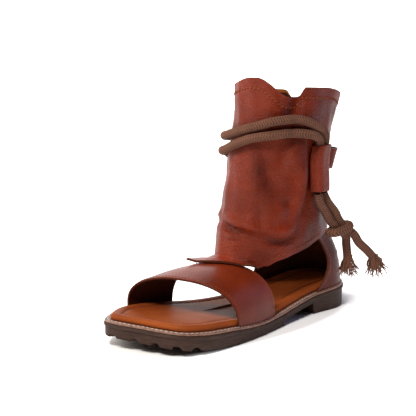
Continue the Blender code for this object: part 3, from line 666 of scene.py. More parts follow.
def lay_tube(name, columns, rows, place):
    """A tube primitive cut into rings, each of whose points is moved to place(turn, row)."""
    bpy.ops.object.select_all(action="DESELECT")
    bpy.ops.mesh.primitive_cylinder_add(vertices=columns, radius=1, depth=2, end_fill_type="NOTHING")
    ob = bpy.context.object
    ob.name = name
    bpy.ops.object.mode_set(mode="EDIT")
    bpy.ops.mesh.select_mode(type="EDGE")
    bpy.ops.mesh.select_all(action="DESELECT")
    work = bmesh.from_edit_mesh(ob.data)
    for edge in work.edges:
        edge.select = abs(edge.verts[0].co.z - edge.verts[1].co.z) > 1
    bmesh.update_edit_mesh(ob.data)
    bpy.ops.mesh.subdivide(number_cuts=rows - 1)
    bpy.ops.object.mode_set(mode="OBJECT")
    co = np.empty(len(ob.data.vertices) * 3, np.float32)
    ob.data.vertices.foreach_get("co", co)
    co = co.reshape(-1, 3)
    turned = np.degrees(np.arctan2(co[:, 0], -co[:, 1]))
    row = np.round((co[:, 2] + 1) / 2 * rows).astype(int)
    ob.data.vertices.foreach_set("co", place(turned, row).ravel().astype(np.float32))
    tag = ob.data.attributes.new("row", "FLOAT", "POINT")
    tag.data.foreach_set("value", (row / rows).astype(np.float32))
    ob.data.update()
    ob.data.shade_smooth()
    return ob


def close_ends(ob):
    """Fill the open loops of a body and turn its faces outwards."""
    bpy.ops.object.mode_set(mode="EDIT")
    bpy.ops.mesh.select_mode(type="EDGE")
    bpy.ops.mesh.select_all(action="SELECT")
    bpy.ops.mesh.region_to_loop()
    bpy.ops.mesh.select_all(action="DESELECT")
    bpy.ops.mesh.select_non_manifold()
    bpy.ops.mesh.edge_face_add()
    bpy.ops.mesh.select_all(action="SELECT")
    bpy.ops.mesh.normals_make_consistent(inside=False)
    bpy.ops.object.mode_set(mode="OBJECT")


def ring_body(name, rings):
    """A closed body laid through rings that all follow the sole's outline."""
    rings = np.array(rings)
    count = rings.shape[1]

    def place(turned, row):
        column = np.round((-turned % 360) / 360 * count).astype(int) % count
        return rings[row, column]
    ob = lay_tube(name, count, len(rings) - 1, place)
    close_ends(ob)
    return ob


def ring_on(flat, height):
    """A ring over places in plan; height is counted from the rim or is a function of (x, y)."""
    z = height(flat[:, 0], flat[:, 1]) if callable(height) else rim_height(flat[:, 1]) + height
    return np.column_stack([flat, z])


def plan_ring(set_in, height):
    """A ring at some distance inside the outline."""
    return ring_on(outline + inward * set_in, height)


def inner_ring(share, height):
    """A ring drawn in towards the middle line."""
    return ring_on(to_spine(share), height)


TREAD_PITCH, TREAD_DEPTH = 0.0075, 0.0009


def tread(x, y):
    """Underside with shallow cross grooves under the ball and the heel."""
    z = underside(x, y)
    cross = (np.abs((y / TREAD_PITCH) % 1 - 0.5) < 0.16) * (np.abs(x) < 0.030)
    zone = ((y > -0.085) & (y < -0.004)) | ((y > 0.070) & (y < 0.112))
    return z + np.where(zone & cross, TREAD_DEPTH, 0.0)


def side_ring(part):
    """A ring of the side wall between the tread and the lip."""
    flat = outline + inward * RIM_LIP
    low = underside(flat[:, 0], flat[:, 1])
    high = rim_height(flat[:, 1]) + LIP_TOP - RIM_LIP_DEPTH
    return np.column_stack([flat, low + 0.0007 + (high - low - 0.0007) * part])


# Lip of the rim from its foot inwards. Columns: distance inside the outline, height over its foot.
LIP_TOP = -WELT_THICKNESS - CLEARANCE
LIP_SECTION = ((0.0005, 0.0001), (0.0001, 0.0005), (0.0, 0.0010), (0.0, 0.0022), (0.0003, 0.0027),
               (0.0009, 0.0030), (0.0050, 0.0030), (0.0110, 0.0030))
rings = [inner_ring(share, tread) for share in np.linspace(0.02, 0.93, 26)]
rings.append(plan_ring(RIM_LIP + 0.0012, underside))
rings.append(plan_ring(RIM_LIP + 0.0004, lambda x, y: underside(x, y) + 0.0002))
rings += [side_ring(part) for part in (0.0, 0.25, 0.5, 0.75, 0.97, 1.0)]
rings += [plan_ring(set_in, LIP_TOP - RIM_LIP_DEPTH + height) for set_in, height in LIP_SECTION]
rings += [inner_ring(share, LIP_TOP) for share in (0.6, 0.3, 0.02)]
outsole = ring_body("outsole_rubber", rings)

# Blown rubber with a dry skin: dull, with fine drawn lines that run round the wall from the
# trimming wheel.
rubber, tree, shader = bare_material("trimmed_blown_rubber")
place = add_node(tree, "ShaderNodeTexCoord").outputs["Object"]
drawn = add_node(tree, "ShaderNodeMapping", {"Scale": (1.0, 1.0, 14.0)}, {"Vector": place})
lines = noise(tree, drawn.outputs["Vector"], 95.0, 5.0, 0.65)
relief = plus_part(tree, noise(tree, place, 1400.0, 2.0), 0.35, lines)
colour = between(tree, lines, (0.32, "#261812"), (0.72, "#463128"))
surface(tree, shader, colour, relief, 0.45, 0.0003, 0.6, 0.15)
outsole.data.materials.append(rubber)
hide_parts("outsole")
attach(outsole, "root")

# WELT
# Flat strip of rubber and leather board between the rim and the footbed, with a cut channel for the
# sole stitching. The thread is thick pale polyester, one stitch about every 4 mm.

# Section of the strip, once round. Columns: distance inside the outline, height over the rim.
WELT_SECTION = ((0.0095, -0.0016), (0.0030, -0.0016), (0.0009, -0.0016), (0.0007, -0.0013),
                (0.0007, -0.0005), (0.0010, -0.0001), (0.0015, 0.0000), (0.0023, 0.0000),
                (0.0026, -0.0004), (0.0030, -0.0007), (0.0034, -0.0004), (0.0037, 0.0000),
                (0.0046, 0.0001), (0.0060, 0.0000), (0.0095, 0.0000))
STITCH_CHANNEL = 0.0030
rings = [plan_ring(set_in, height) for set_in, height in WELT_SECTION]
rings.append(rings[0].copy())
welt = ring_body("welt_strip_bevelled", rings)

# Rubber board dyed a reddish brown, sanded flat on top, so it is matt and a little uneven in tone.
welt_board, tree, shader = bare_material("dyed_welt_strip")
mottle = noise(tree, add_node(tree, "ShaderNodeTexCoord").outputs["Object"], 260.0, 3.0)
colour = between(tree, mottle, (0.3, "#5C4034"), (0.75, "#8A6350"))
surface(tree, shader, colour, mottle, 0.4, 0.0003, 0.5)
welt.data.materials.append(welt_board)
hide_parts("welt")
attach(welt, "root")


def thread_material(name, code, gloss):
    """Spun sewing thread: its twist is too fine to show, so only its soft shine is set."""
    made, tree, shader = bare_material(name)
    shader.inputs["Base Color"].default_value = linear(code)
    shader.inputs["Roughness"].default_value = gloss
    shader.inputs["Specular IOR Level"].default_value = 0.2
    return made


def sew(name, line, normals, pitch, length, thick, mat, lean=0.0, lift=0.35):
    """A row of stitches along a line; each is a short arched thread, leaning by some degrees."""
    bpy.ops.object.select_all(action="DESELECT")
    bpy.ops.mesh.primitive_uv_sphere_add(segments=6, ring_count=6, radius=0.5)
    seed = bpy.context.object
    shape = np.array([v.co[:] for v in seed.data.vertices])
    sides = [tuple(p.vertices) for p in seed.data.polygons]
    bpy.data.objects.remove(seed, do_unlink=True)
    line, normals = np.asarray(line, float), np.asarray(normals, float)
    run = np.r_[0, np.cumsum(np.linalg.norm(np.diff(line, axis=0), axis=1))]
    points, faces = [], []
    count = int(run[-1] / pitch)
    for i in range(count):
        at = (i + 0.5) * run[-1] / count
        here = np.array([np.interp(at, run, line[:, k]) for k in range(3)])
        ahead = np.array([np.interp(at + pitch / 4, run, line[:, k]) for k in range(3)]) - np.array(
            [np.interp(at - pitch / 4, run, line[:, k]) for k in range(3)])
        ahead /= np.linalg.norm(ahead) + 1e-12
        up = np.array([np.interp(at, run, normals[:, k]) for k in range(3)])
        up -= ahead * (up @ ahead)
        up /= np.linalg.norm(up) + 1e-12
        side = np.cross(up, ahead)
        turned = radians(lean)
        ahead, side = ahead * cos(turned) + side * sin(turned), side * cos(turned) - ahead * sin(turned)
        arch = lift * thick * (1 - (2 * shape[:, 2]) ** 2)
        base = len(points)
        body = (here + shape[:, 2:3] * length * ahead + shape[:, 0:1] * thick * side
                + (shape[:, 1] * thick + arch)[:, None] * up)
        points.extend(body)
        faces.extend(tuple(base + v for v in f) for f in sides)
    ob = mesh_object(name, points, faces)
    ob.data.materials.append(mat)
    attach(ob, "root")
    return ob


def ring_line(set_in, height):
    """A closed line on the sole's outline."""
    ring = plan_ring(set_in, height)
    return np.vstack([ring, ring[:1]])


def upright(line):
    """A direction straight up for each point of a line."""
    return np.tile((0.0, 0.0, 1.0), (len(line), 1))


pale_thread = thread_material("pale_polyester_thread", "#C9BEB4", 0.55)
channel = ring_line(STITCH_CHANNEL, -0.0003)
sole_stitches = sew("welt_stitches", channel, upright(channel), 0.0040, 0.0030, 0.0008, pale_thread)

# FOOTBED
# Cushioned footbed wrapped in tan calf: a soft roll round its edge, a stitched groove and a flat
# panel inside it. The filler drops into the welt, where it is cemented down.
LEDGE = 0.0055
FOOTBED_GROOVE = 0.0088


def cupped(height):
    """A ring's height over the rim, with the heel seat and the ball worn in a little."""
    def found(x, y):
        middle = np.exp(-(x / 0.022) ** 2)
        heel = 0.0008 * np.exp(-((y - 0.082) / 0.022) ** 2)
        ball = 0.0006 * np.exp(-((y + 0.050) / 0.026) ** 2)
        return rim_height(y) + height - (heel + ball) * middle
    return found


# Roll round the edge and groove inside it. Columns: distance inside the ledge, height over the rim.
ROLL_SECTION = ((0.0000, 0.0003), (-0.0002, 0.0012), (-0.0003, 0.0022), (0.0000, 0.0032), (0.0006, 0.0041),
                (0.0015, 0.0047), (0.0028, 0.0050), (0.0045, 0.0050), (0.0062, 0.0048), (0.0074, 0.0045),
                (0.0082, 0.0041), (0.0088, 0.0038), (0.0094, 0.0040), (0.0102, 0.0041), (0.0112, 0.0043),
                (0.0125, 0.0044))
filler = WELT_SET_IN + WELT_WIDTH + CLEARANCE
rings = [inner_ring(share, -WELT_THICKNESS) for share in (0.02, 0.4, 0.6)]
rings += [plan_ring(filler, -WELT_THICKNESS), plan_ring(filler, CLEARANCE)]
rings += [plan_ring(LEDGE + set_in, height) for set_in, height in ROLL_SECTION]
rings += [inner_ring(share, cupped(0.0044)) for share in (0.43, 0.36, 0.29, 0.22, 0.15, 0.09, 0.04, 0.01)]
footbed = ring_body("footbed_cushion", rings)
footbed_line = ring_line(LEDGE + FOOTBED_GROOVE, 0.0040)

# Calf dyed tan and polished: warm orange, smooth, with a low broad sheen and a few long soft marks.
footbed_leather, tree, shader = bare_material("polished_tan_calf")
place = add_node(tree, "ShaderNodeTexCoord").outputs["Object"]
pores = add_node(tree, "ShaderNodeTexVoronoi", {"Scale": 520.0}, {"Vector": place}).outputs["Distance"]
colour = between(tree, noise(tree, place, 26.0, 3.0), (0.3, "#6E3012"), (0.7, "#8A441C"))
surface(tree, shader, colour, pores, 0.16, 0.0004, 0.52, 0.05)
footbed.data.materials.append(footbed_leather)
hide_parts("footbed")
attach(footbed, "root")
brown_thread = thread_material("waxed_brown_thread", "#7A3A20", 0.5)
footbed_stitches = sew("footbed_stitches", footbed_line, upright(footbed_line),
                       0.0036, 0.0026, 0.0007, brown_thread)

# SHAFT
# Soft full-grain leather, 1.9 mm, drummed until its grain stands out. One hide piece runs round the
# ankle with a turned hem at the collar, and its front is cut as a lip that lies on the toe strap.
LEATHER = 0.0019
SHAFT_COLUMNS = 180
SKIN_DEGREE = 0.00080
HEM_DEPTH, HEM_RISE, HEM_GROOVE = 0.0078, 0.00035, 0.00022
HEM_SEAM, SKIN_WAVES = 0.0006, 0.00022
OVERLAP_ANGLE, OVERLAP_RISE = -132, 0.0009

# Creases pressed in by wearing and packing. Columns: depth and half width, height and place of the
# ridge beside them, all in mm, then points as (angle, share of the shaft height) from left to right.
CREASES = (
    (5.4, 3.8, 4.4, 6.8, ((-16, 0.420), (-4, 0.411), (10, 0.400), (26, 0.388), (44, 0.372))),
    (4.4, 4.2, 4.6, 7.6, ((34, 0.380), (48, 0.366), (60, 0.356), (72, 0.358), (82, 0.386), (88, 0.446))),
    (3.0, 3.2, 1.6, 5.0, ((84, 0.420), (88, 0.480), (90, 0.560), (90, 0.640), (89, 0.760))),
    (2.0, 7.5, 1.6, 11.0, ((31, 0.735), (36, 0.690), (40, 0.640), (43, 0.590), (46, 0.530))),
    (2.4, 3.2, 1.2, 5.2, ((61, 0.656), (68, 0.624), (74, 0.590), (82, 0.556))),
    (2.8, 4.4, 0.4, 6.0, ((62, 0.512), (67, 0.506), (72, 0.508), (77, 0.516))),
    (4.6, 12.0, 3.4, 17.0, ((24, 0.780), (33, 0.710), (40, 0.640), (47, 0.570), (54, 0.520))),
    (-4.0, 8.0, 0.0, 0.0, ((40, 0.440), (54, 0.455), (70, 0.490))),
    (4.0, 7.0, 2.4, 10.0, ((50, 0.800), (54, 0.720), (58, 0.650), (64, 0.590))),
    (-1.6, 3.4, 0.0, 0.0, ((80, 0.700), (79, 0.650), (78, 0.600), (77, 0.560))),
    (1.6, 2.6, 0.9, 4.2, ((-10, 0.366), (4, 0.362), (18, 0.362), (30, 0.352))),
    (1.2, 2.2, 0.7, 3.6, ((-22, 0.452), (-8, 0.446), (8, 0.446), (20, 0.440))),
    (1.0, 2.0, 0.6, 3.4, ((-18, 0.478), (-4, 0.474), (12, 0.470))),
    (2.2, 4.2, 0.0, 0.0, ((64, 0.960), (66, 0.920), (69, 0.885), (72, 0.850))),
    (1.4, 3.4, 0.0, 0.0, ((40, 0.975), (43, 0.930), (46, 0.890))),
    (0.9, 1.6, 0.5, 2.6, ((50, 0.470), (60, 0.462), (72, 0.470), (80, 0.486))),
    (0.8, 1.5, 0.5, 2.6, ((14, 0.560), (26, 0.552), (36, 0.548), (46, 0.552))),
    (0.7, 1.4, 0.4, 2.4, ((-24, 0.620), (-10, 0.612), (4, 0.612), (16, 0.618))),
    (0.7, 1.5, 0.4, 2.6, ((-20, 0.690), (-6, 0.684), (8, 0.682), (18, 0.688))),
    (2.6, 3.4, 2.0, 5.4, ((-96, 0.420), (-76, 0.402), (-56, 0.404), (-36, 0.420), (-20, 0.430))),
    (1.8, 3.6, 1.4, 5.2, ((-110, 0.500), (-92, 0.486), (-74, 0.496), (-58, 0.520))),
    (2.4, 4.0, 1.0, 5.4, ((-70, 0.700), (-64, 0.640), (-60, 0.580), (-58, 0.530))),
    (1.8, 3.4, 1.0, 4.8, ((-118, 0.620), (-110, 0.580), (-100, 0.552), (-88, 0.540))),
    (2.2, 3.6, 1.4, 5.0, ((126, 0.470), (142, 0.452), (160, 0.448), (178, 0.456))),
    (2.0, 3.6, 1.2, 5.0, ((-178, 0.520), (-164, 0.508), (-148, 0.510), (-134, 0.530))),
    (1.4, 3.0, 0.8, 4.4, ((120, 0.560), (132, 0.548), (146, 0.552), (158, 0.566))),
    (1.8, 4.2, 0.0, 0.0, ((-150, 0.900), (-146, 0.860), (-142, 0.820))),
)


# Beyond this distance from the middle of a crease nothing of it is left.
CREASE_REACH = 0.075


def crease_depth(angle, share):
    """How far the pressed creases draw the leather in, in metres; ridges count against it."""
    angle, share = np.broadcast_arrays(np.asarray(angle, float), np.asarray(share, float))
    turned = (angle + 180) % 360 - 180
    drawn = np.zeros(angle.shape)
    for deep, wide, ridge, reach, points in CREASES:
        rows = np.array(points, float) * (SKIN_DEGREE, SHAFT_HEIGHT)
        line = curve_through(rows, np.linspace(0, 1, 48))
        run = np.gradient(line, axis=0)
        run /= np.linalg.norm(run, axis=1)[:, None]
        above = np.stack([-run[:, 1], run[:, 0]], axis=1)
        for wrap in (-360, 0, 360):
            here = np.stack([(turned + wrap) * SKIN_DEGREE, share * SHAFT_HEIGHT], axis=-1)
            close = np.abs(here - line.mean(axis=0)).max(axis=-1) < CREASE_REACH
            if not close.any():
                continue
            gap = here[close][:, None, :] - line
            far = (gap ** 2).sum(axis=-1)
            nearest = far.argmin(axis=1)
            rows_at = np.arange(len(nearest))
            signed = (gap[rows_at, nearest] * above[nearest]).sum(axis=-1)
            beyond = np.sqrt(np.maximum(far[rows_at, nearest] - signed ** 2, 0))
            wide_m, reach_m = wide / 1000, reach / 1000
            fade = np.sin(pi * np.clip(nearest / 47, 0.03, 0.97)) ** 1.1
            fade = fade * np.exp(-(beyond / (1.6 * wide_m)) ** 2)
            valley = deep * np.exp(-(signed / wide_m) ** 2)
            crest = ridge * np.exp(-((signed - reach_m) / (1.15 * wide_m)) ** 2)
            drawn[close] += fade * (valley - crest) / 1000
    return drawn


def skin(angle, up, out=0.0):
    """The finished outer face of the shaft, or a place off it."""
    angle, up, out = np.broadcast_arrays(*(np.asarray(part, float) for part in (angle, up, out)))
    share = shaft_place(angle, up)[..., 2] / SHAFT_HEIGHT
    drop = shaft_place(angle, 1.0)[..., 2] - share * SHAFT_HEIGHT
    waves = SKIN_WAVES * (np.sin(angle * 0.17 + share * 33) + np.sin(angle * 0.093 - share * 51 + 1.3)
                          + np.sin(angle * 0.31 + share * 12 + 0.4))
    hem = HEM_RISE / (1 + np.exp((drop - HEM_DEPTH) / 0.00035))
    hem = hem - HEM_GROOVE * np.exp(-((drop - HEM_DEPTH - HEM_SEAM) / 0.0007) ** 2)
    turned = (angle + 180) % 360 - 180
    panel = OVERLAP_RISE / (1 + np.exp((OVERLAP_ANGLE - turned) / 0.6)) * np.clip((-70 - turned) / 55, 0, 1)
    panel = panel * np.clip((share - 0.60) / 0.12, 0, 1)
    return shaft_place(angle, up, out + waves + hem + panel - crease_depth(angle, share))


def lay_sheet(name, columns, rows, place):
    """A grid primitive each of whose points is moved to place(u, v), both from 0 to 1."""
    bpy.ops.object.select_all(action="DESELECT")
    bpy.ops.mesh.primitive_grid_add(x_subdivisions=columns, y_subdivisions=rows, size=2)
    ob = bpy.context.object
    ob.name = name
    co = np.empty(len(ob.data.vertices) * 3, np.float32)
    ob.data.vertices.foreach_get("co", co)
    co = co.reshape(-1, 3)
    u, v = (np.round((co[:, k] + 1) / 2, 6).astype(float) for k in (0, 1))
    ob.data.vertices.foreach_set("co", place(u, v).ravel().astype(np.float32))
    ob.data.update()
    return ob


def face_out(ob, middle):
    """Turn an open surface's faces away from a point."""
    bpy.ops.object.select_all(action="DESELECT")
    ob.select_set(True)
    bpy.context.view_layer.objects.active = ob
    bpy.ops.object.mode_set(mode="EDIT")
    bpy.ops.mesh.select_all(action="SELECT")
    bpy.ops.mesh.normals_make_consistent(inside=False)
    bpy.ops.object.mode_set(mode="OBJECT")
    middle = Vector(middle)
    if sum((f.center - middle).dot(f.normal) * f.area for f in ob.data.polygons) < 0:
        bpy.ops.object.mode_set(mode="EDIT")
        bpy.ops.mesh.flip_normals()
        bpy.ops.object.mode_set(mode="OBJECT")


def wall(ob, thickness, round_off, face, lining, edge):
    """Give an open leather surface its thickness, its three finishes and slightly rounded edges."""
    for mat in (face, lining, edge):
        ob.data.materials.append(mat)
    bpy.context.view_layer.objects.active = ob
    solid = ob.modifiers.new("Wall", "SOLIDIFY")
    solid.thickness = thickness
    solid.offset = -1
    solid.use_even_offset = True
    solid.material_offset = 1
    solid.material_offset_rim = 2
    bpy.ops.object.modifier_apply(modifier=solid.name)
    soft = ob.modifiers.new("Edges", "BEVEL")
    soft.width = round_off
    soft.segments = 2
    soft.limit_method = "ANGLE"
    soft.angle_limit = radians(55)
    bpy.ops.object.modifier_apply(modifier=soft.name)
    ob.data.shade_smooth()


def rescaled(tree, value, low, high, reach):
    """A value between low and high as one between 0 and reach."""
    return add_node(tree, "ShaderNodeMapRange", {"From Min": low, "From Max": high, "To Max": reach},
                    {"Value": value}).outputs[0]


def grained_leather(name, face, deep, rough, grain, size):
    """Vegetable-tanned hide with a drummed grain of short cells pulled along the shoe, dyed through, with
    painted shade in its creases.
    """
    made, tree, shader = bare_material(name)
    place = add_node(tree, "ShaderNodeTexCoord").outputs["Object"]
    pressed = add_node(tree, "ShaderNodeMapping", {"Scale": (1.0, 1.0, 3.2)}, {"Vector": place})
    pressed = pressed.outputs["Vector"]
    warp = add_node(tree, "ShaderNodeTexNoise", {"Scale": size * 0.35, "Detail": 2.0}, {"Vector": pressed})
    bent = add_node(tree, "ShaderNodeVectorMath",
                    {"operation": "MULTIPLY_ADD", 1: (0.0022, 0.0022, 0.0022)},
                    {0: warp.outputs["Color"], 2: pressed})
    cells = add_node(tree, "ShaderNodeTexVoronoi",
                     {"feature": "SMOOTH_F1", "Scale": size, "Smoothness": 0.5},
                     {"Vector": bent.outputs["Vector"]}).outputs["Distance"]
    fine = noise(tree, pressed, size * 1.3, 3.0)
    broad = noise(tree, place, 22.0, 3.0, 0.55)
    # Painted shade: the crease attribute darkens crease troughs and lightens their ridges a little.
    painted_crease_shading = add_node(tree, "ShaderNodeAttribute", {"attribute_name": "painted_crease_shading"}).outputs["Fac"]
    tone = rescaled(tree, broad, 0.32, 0.70, 0.55)
    pits = rescaled(tree, cells, 0.25, 0.75, 0.22)
    shade = add_node(tree, "ShaderNodeMath", {"operation": "ADD"}, {0: tone, 1: pits}).outputs[0]
    dark = add_node(tree, "ShaderNodeMath", {"operation": "ADD", "use_clamp": True}, {0: shade, 1: painted_crease_shading})
    mix = add_node(tree, "ShaderNodeMix", {"data_type": "RGBA"})
    mix.inputs[6].default_value = linear(face)
    mix.inputs[7].default_value = linear(deep)
    tree.links.new(dark.outputs[0], mix.inputs[0])
    surface(tree, shader, mix.outputs[2], plus_part(tree, cells, -1.3, fine), grain, 0.0006, rough, 0.14)
    return made


def suede(name, light, dark, rough):
    """Split leather with a short nap, as on the flesh side and on cut edges."""
    made, tree, shader = bare_material(name)
    nap = noise(tree, add_node(tree, "ShaderNodeTexCoord").outputs["Object"], 900.0, 4.0, 0.7)
    surface(tree, shader, between(tree, nap, (0.3, dark), (0.7, light)), nap, 0.5, 0.0003, rough, 0.1)
    return made


# Oiled ankle leather with an open grain, its napped flesh side and its raw cut edge.
shaft_leather = grained_leather("drummed_full_grain_leather", "#7A270C", "#280602", 0.34, 0.72, 520.0)
lining_suede = suede("tan_suede_lining", "#4E2210", "#2C1208", 0.95)
cut_edge = suede("raw_leather_edge", "#5A2A18", "#34160C", 0.8)

# Toe strap, needed by the lip that lies on it. Columns: place in its width from front to rear, outer
# base, inner base and top as shares of the sole length, height in strap heights.
STRAP = ((0.0, 0.686, 0.826, 0.774, 0.885),
         (0.5, 0.590, 0.735, 0.672, 0.955),
         (1.0, 0.486, 0.645, 0.566, 0.980))
STRAP_ROUNDNESS, STRAP_BULGE, UPPER_SET_IN = 2.35, 0.0022, 0.0026

# Lip. Columns: share of its width from the inner corner, place along the sole, reach in shaft widths.
LIP = ((0.00, 0.641, -0.335),
       (0.25, 0.630, -0.165),
       (0.50, 0.606, 0.00),
       (0.75, 0.573, 0.180),
       (1.00, 0.538, 0.335))
LIP_CURL, LIP_CORNER_CURL, LIP_RAISE = 0.0040, 0.0036, 0.0012


def rim_reach(y, side):
    """How far the rim reaches across on each side (1 outer, -1 inner) at places along the sole."""
    found = []
    for way in (1, -1):
        part = outline[(outline[:, 0] * way > 0) & (np.abs(outline[:, 1]) < SOLE_LENGTH / 2)]
        part = part[np.argsort(part[:, 1])]
        found.append(np.interp(y, part[:, 1], np.abs(part[:, 0])))
    return np.where(side > 0, found[0], found[1])


def strap_place(across, turned, out=0.0):
    """Places of the toe strap's outer face; turned runs from the outer base to the inner base."""
    _, outer_at, inner_at, top_at, high = np.moveaxis(curve_through(STRAP, across), -1, 0)
    c, s = np.cos(turned), np.sin(turned)
    power = 2 / STRAP_ROUNDNESS
    mid_at = (outer_at + inner_at) / 2
    y = along(mid_at + (inner_at - outer_at) / 2 * -c + (top_at - mid_at) * s)
    side = np.where(c > 0, 1.0, -1.0)
    reach = rim_reach(along(np.where(c > 0, outer_at, inner_at)), side) - UPPER_SET_IN
    x = side * (reach + out) * np.abs(c) ** power + side * STRAP_BULGE * np.abs(np.sin(2 * turned)) ** 1.5
    foot = rim_height(y) + CLEARANCE
    return np.stack([x, y, foot + (STRAP_HEIGHT * high + out - foot) * np.abs(s) ** power], axis=-1)


strap_across, strap_turned = np.meshgrid(np.linspace(0, 1, 50), np.linspace(0.3, pi - 0.3, 220))
strap_points = strap_place(strap_across.ravel(), strap_turned.ravel())


def strap_top(x, y):
    """The height of the strap's outer face over places in plan, from its nearest points."""
    x, y = np.broadcast_arrays(np.asarray(x, float), np.asarray(y, float))
    gap = (x.ravel()[:, None] - strap_points[:, 0]) ** 2
    gap = gap + (y.ravel()[:, None] - strap_points[:, 1]) ** 2
    near = np.argpartition(gap, 8, axis=1)[:, :8]
    weight = 1 / (np.take_along_axis(gap, near, axis=1) + 1e-8)
    return ((strap_points[near, 2] * weight).sum(axis=1) / weight.sum(axis=1)).reshape(x.shape)


def lip_place(turned, share):
    """Places of the lip in front of the shaft's edge; share runs from that edge to the lip's end."""
    edge = skin(-LIP_HALF_ANGLE + 2 * LIP_HALF_ANGLE * turned, 0.0)
    at, reach = np.moveaxis(table_at(LIP, turned), -1, 0)
    x, y = SHAFT_WIDTH * reach, along(at)
    z = strap_top(x, y) + LEATHER + LIP_RAISE
    curl = LIP_CURL * np.maximum(1 - turned / 0.2, 0) ** 1.3
    curl = curl + LIP_CORNER_CURL * np.maximum((turned - 0.85) / 0.15, 0)
    z = z + curl * np.clip((share - 0.45) / 0.55, 0, 1) ** 2
    flat = edge * (1 - share)[..., None] + np.stack([x, y, z], axis=-1) * share[..., None]
    flat[..., 2] = edge[..., 2] + (z - edge[..., 2]) * (1 - (1 - share) ** 1.8)
    flat[..., 1] = edge[..., 1] + (y - edge[..., 1]) * share ** 1.6
    roll = 0.0006 * np.exp(-((share - 0.72) / 0.10) ** 2) - 0.0004 * np.exp(-((share - 0.5) / 0.08) ** 2)
    flat[..., 2] += roll
    return flat


row_ups = np.r_[np.linspace(0, 0.87, 98), np.linspace(0.87, 1.0, 33)[1:]]
shaft = lay_tube("shaft_skin", SHAFT_COLUMNS, len(row_ups) - 1,
                 lambda turned, row: skin(np.round(turned / 2) * 2, row_ups[row]))
lip = lay_sheet("lip_skin", LIP_HALF_ANGLE, 18,
                lambda u, v: lip_place(np.round(u * LIP_HALF_ANGLE) / LIP_HALF_ANGLE, v))
bpy.ops.object.select_all(action="DESELECT")
lip.select_set(True)
shaft.select_set(True)
bpy.context.view_layer.objects.active = shaft
bpy.ops.object.join()
bpy.ops.object.mode_set(mode="EDIT")
bpy.ops.mesh.select_all(action="SELECT")
bpy.ops.mesh.remove_doubles(threshold=0.00002)
bpy.ops.object.mode_set(mode="OBJECT")
face_out(shaft, (0.0, 0.045, 0.12))

# Crease troughs are marked for a darker tone as painted shade, and their ridges get a little painted light.
PAINTED_SHADING_FROM, PAINTED_SHADING_FULL_AT, PAINTED_SHADING_STRENGTH = 0.068, 0.0060, 0.36
painted_crease_shading = shaft.data.attributes.new("painted_crease_shading", "FLOAT", "POINT")
co = np.empty(len(shaft.data.vertices) * 3, np.float32)
shaft.data.vertices.foreach_get("co", co)
co = co.reshape(-1, 3)
tight = np.degrees(np.arctan2(co[:, 0] / 0.037, -(co[:, 1] - 0.04) / 0.052))
depth = np.where(co[:, 2] > PAINTED_SHADING_FROM, crease_depth(tight, co[:, 2] / SHAFT_HEIGHT), 0.0)
painted_crease_shading.data.foreach_set("value", np.clip(depth / PAINTED_SHADING_FULL_AT, -0.3, 1.0).astype(np.float32) * PAINTED_SHADING_STRENGTH)
wall(shaft, LEATHER, 0.00045, shaft_leather, lining_suede, cut_edge)

# The hem is turned over to the inside at the collar and shows its paler, tan side.
HEM_FROM_ROW = 0.915
turned_hem = suede("tan_turned_hem", "#A4622F", "#7C401E", 0.75)
shaft.data.materials.append(turned_hem)
height_row = np.empty(len(shaft.data.vertices), np.float32)
shaft.data.attributes["row"].data.foreach_get("value", height_row)
for face in shaft.data.polygons:
    if face.material_index == 1 and height_row[list(face.vertices)].mean() > HEM_FROM_ROW:
        face.material_index = 3
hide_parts("upper")
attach(shaft, "root")


STITCH_SEAT = 0.00005


def seam_on(surface_at, name, across, up, pitch, length, thick, lean=0.0):
    """Stitches of brown thread on a line over a leather face, given as places at two heights off it."""
    across, up = np.broadcast_arrays(np.asarray(across, float), np.asarray(up, float))
    low, high = (surface_at(across, up, STITCH_SEAT + off) for off in (0.0, 0.001))
    sew(name, low, (high - low) * 1000, pitch, length, thick, brown_thread, lean)


turns = np.linspace(-180, 180, 361)
collar_seam = row_at(turns, shaft_place(turns, 1.0)[..., 2] - HEM_DEPTH - HEM_SEAM, 0.6)
seam_on(skin, "collar_stitches", turns, collar_seam, 0.0036, 0.0032, 0.0011, 34)
sides = np.linspace(56, 112, 60)
rise = 0.052 + 0.012 * np.sin(np.radians(sides))
seam_on(skin, "edge_stitches_outer", sides, rise, 0.0036, 0.0026, 0.0006)
seam_on(skin, "edge_stitches_inner", -sides, rise, 0.0036, 0.0026, 0.0006)
panel_ups = np.linspace(0.62, 0.955, 60)
seam_on(skin, "panel_stitches", OVERLAP_ANGLE + 3.2, panel_ups, 0.0034, 0.0025, 0.0006)

# TOE STRAP
# Firm smooth band, 1.9 mm, lasted over the toes with its ends tucked in behind the welt. Its edges are
# cut raw and burnished, and a row of small stitches runs beside each of them.
strap = lay_sheet("toe_strap_skin", 150, 44, lambda u, v: strap_place(v, pi * u))
face_out(strap, (0.0, -0.04, 0.02))

# The same hide, rolled smooth and burnished, so its grain is only just there.
strap_leather = grained_leather("smooth_strap_leather", "#762A11", "#401105", 0.34, 0.16, 620.0)
wall(strap, LEATHER, 0.00050, strap_leather, lining_suede, cut_edge)
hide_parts("upper")
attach(strap, "root")
for name, across in (("strap_stitches_front", 0.055), ("strap_stitches_rear", 0.945)):
    seam_on(strap_place, name, across, np.linspace(0.10, pi - 0.10, 160), 0.0030, 0.0021, 0.0006)

# HEEL COUNTER
# Closed back of the sandal: a stiffened piece that rises inside the shaft and stands on the welt. Its
# two front edges are bound with a narrow strip of the same leather, stitched down.

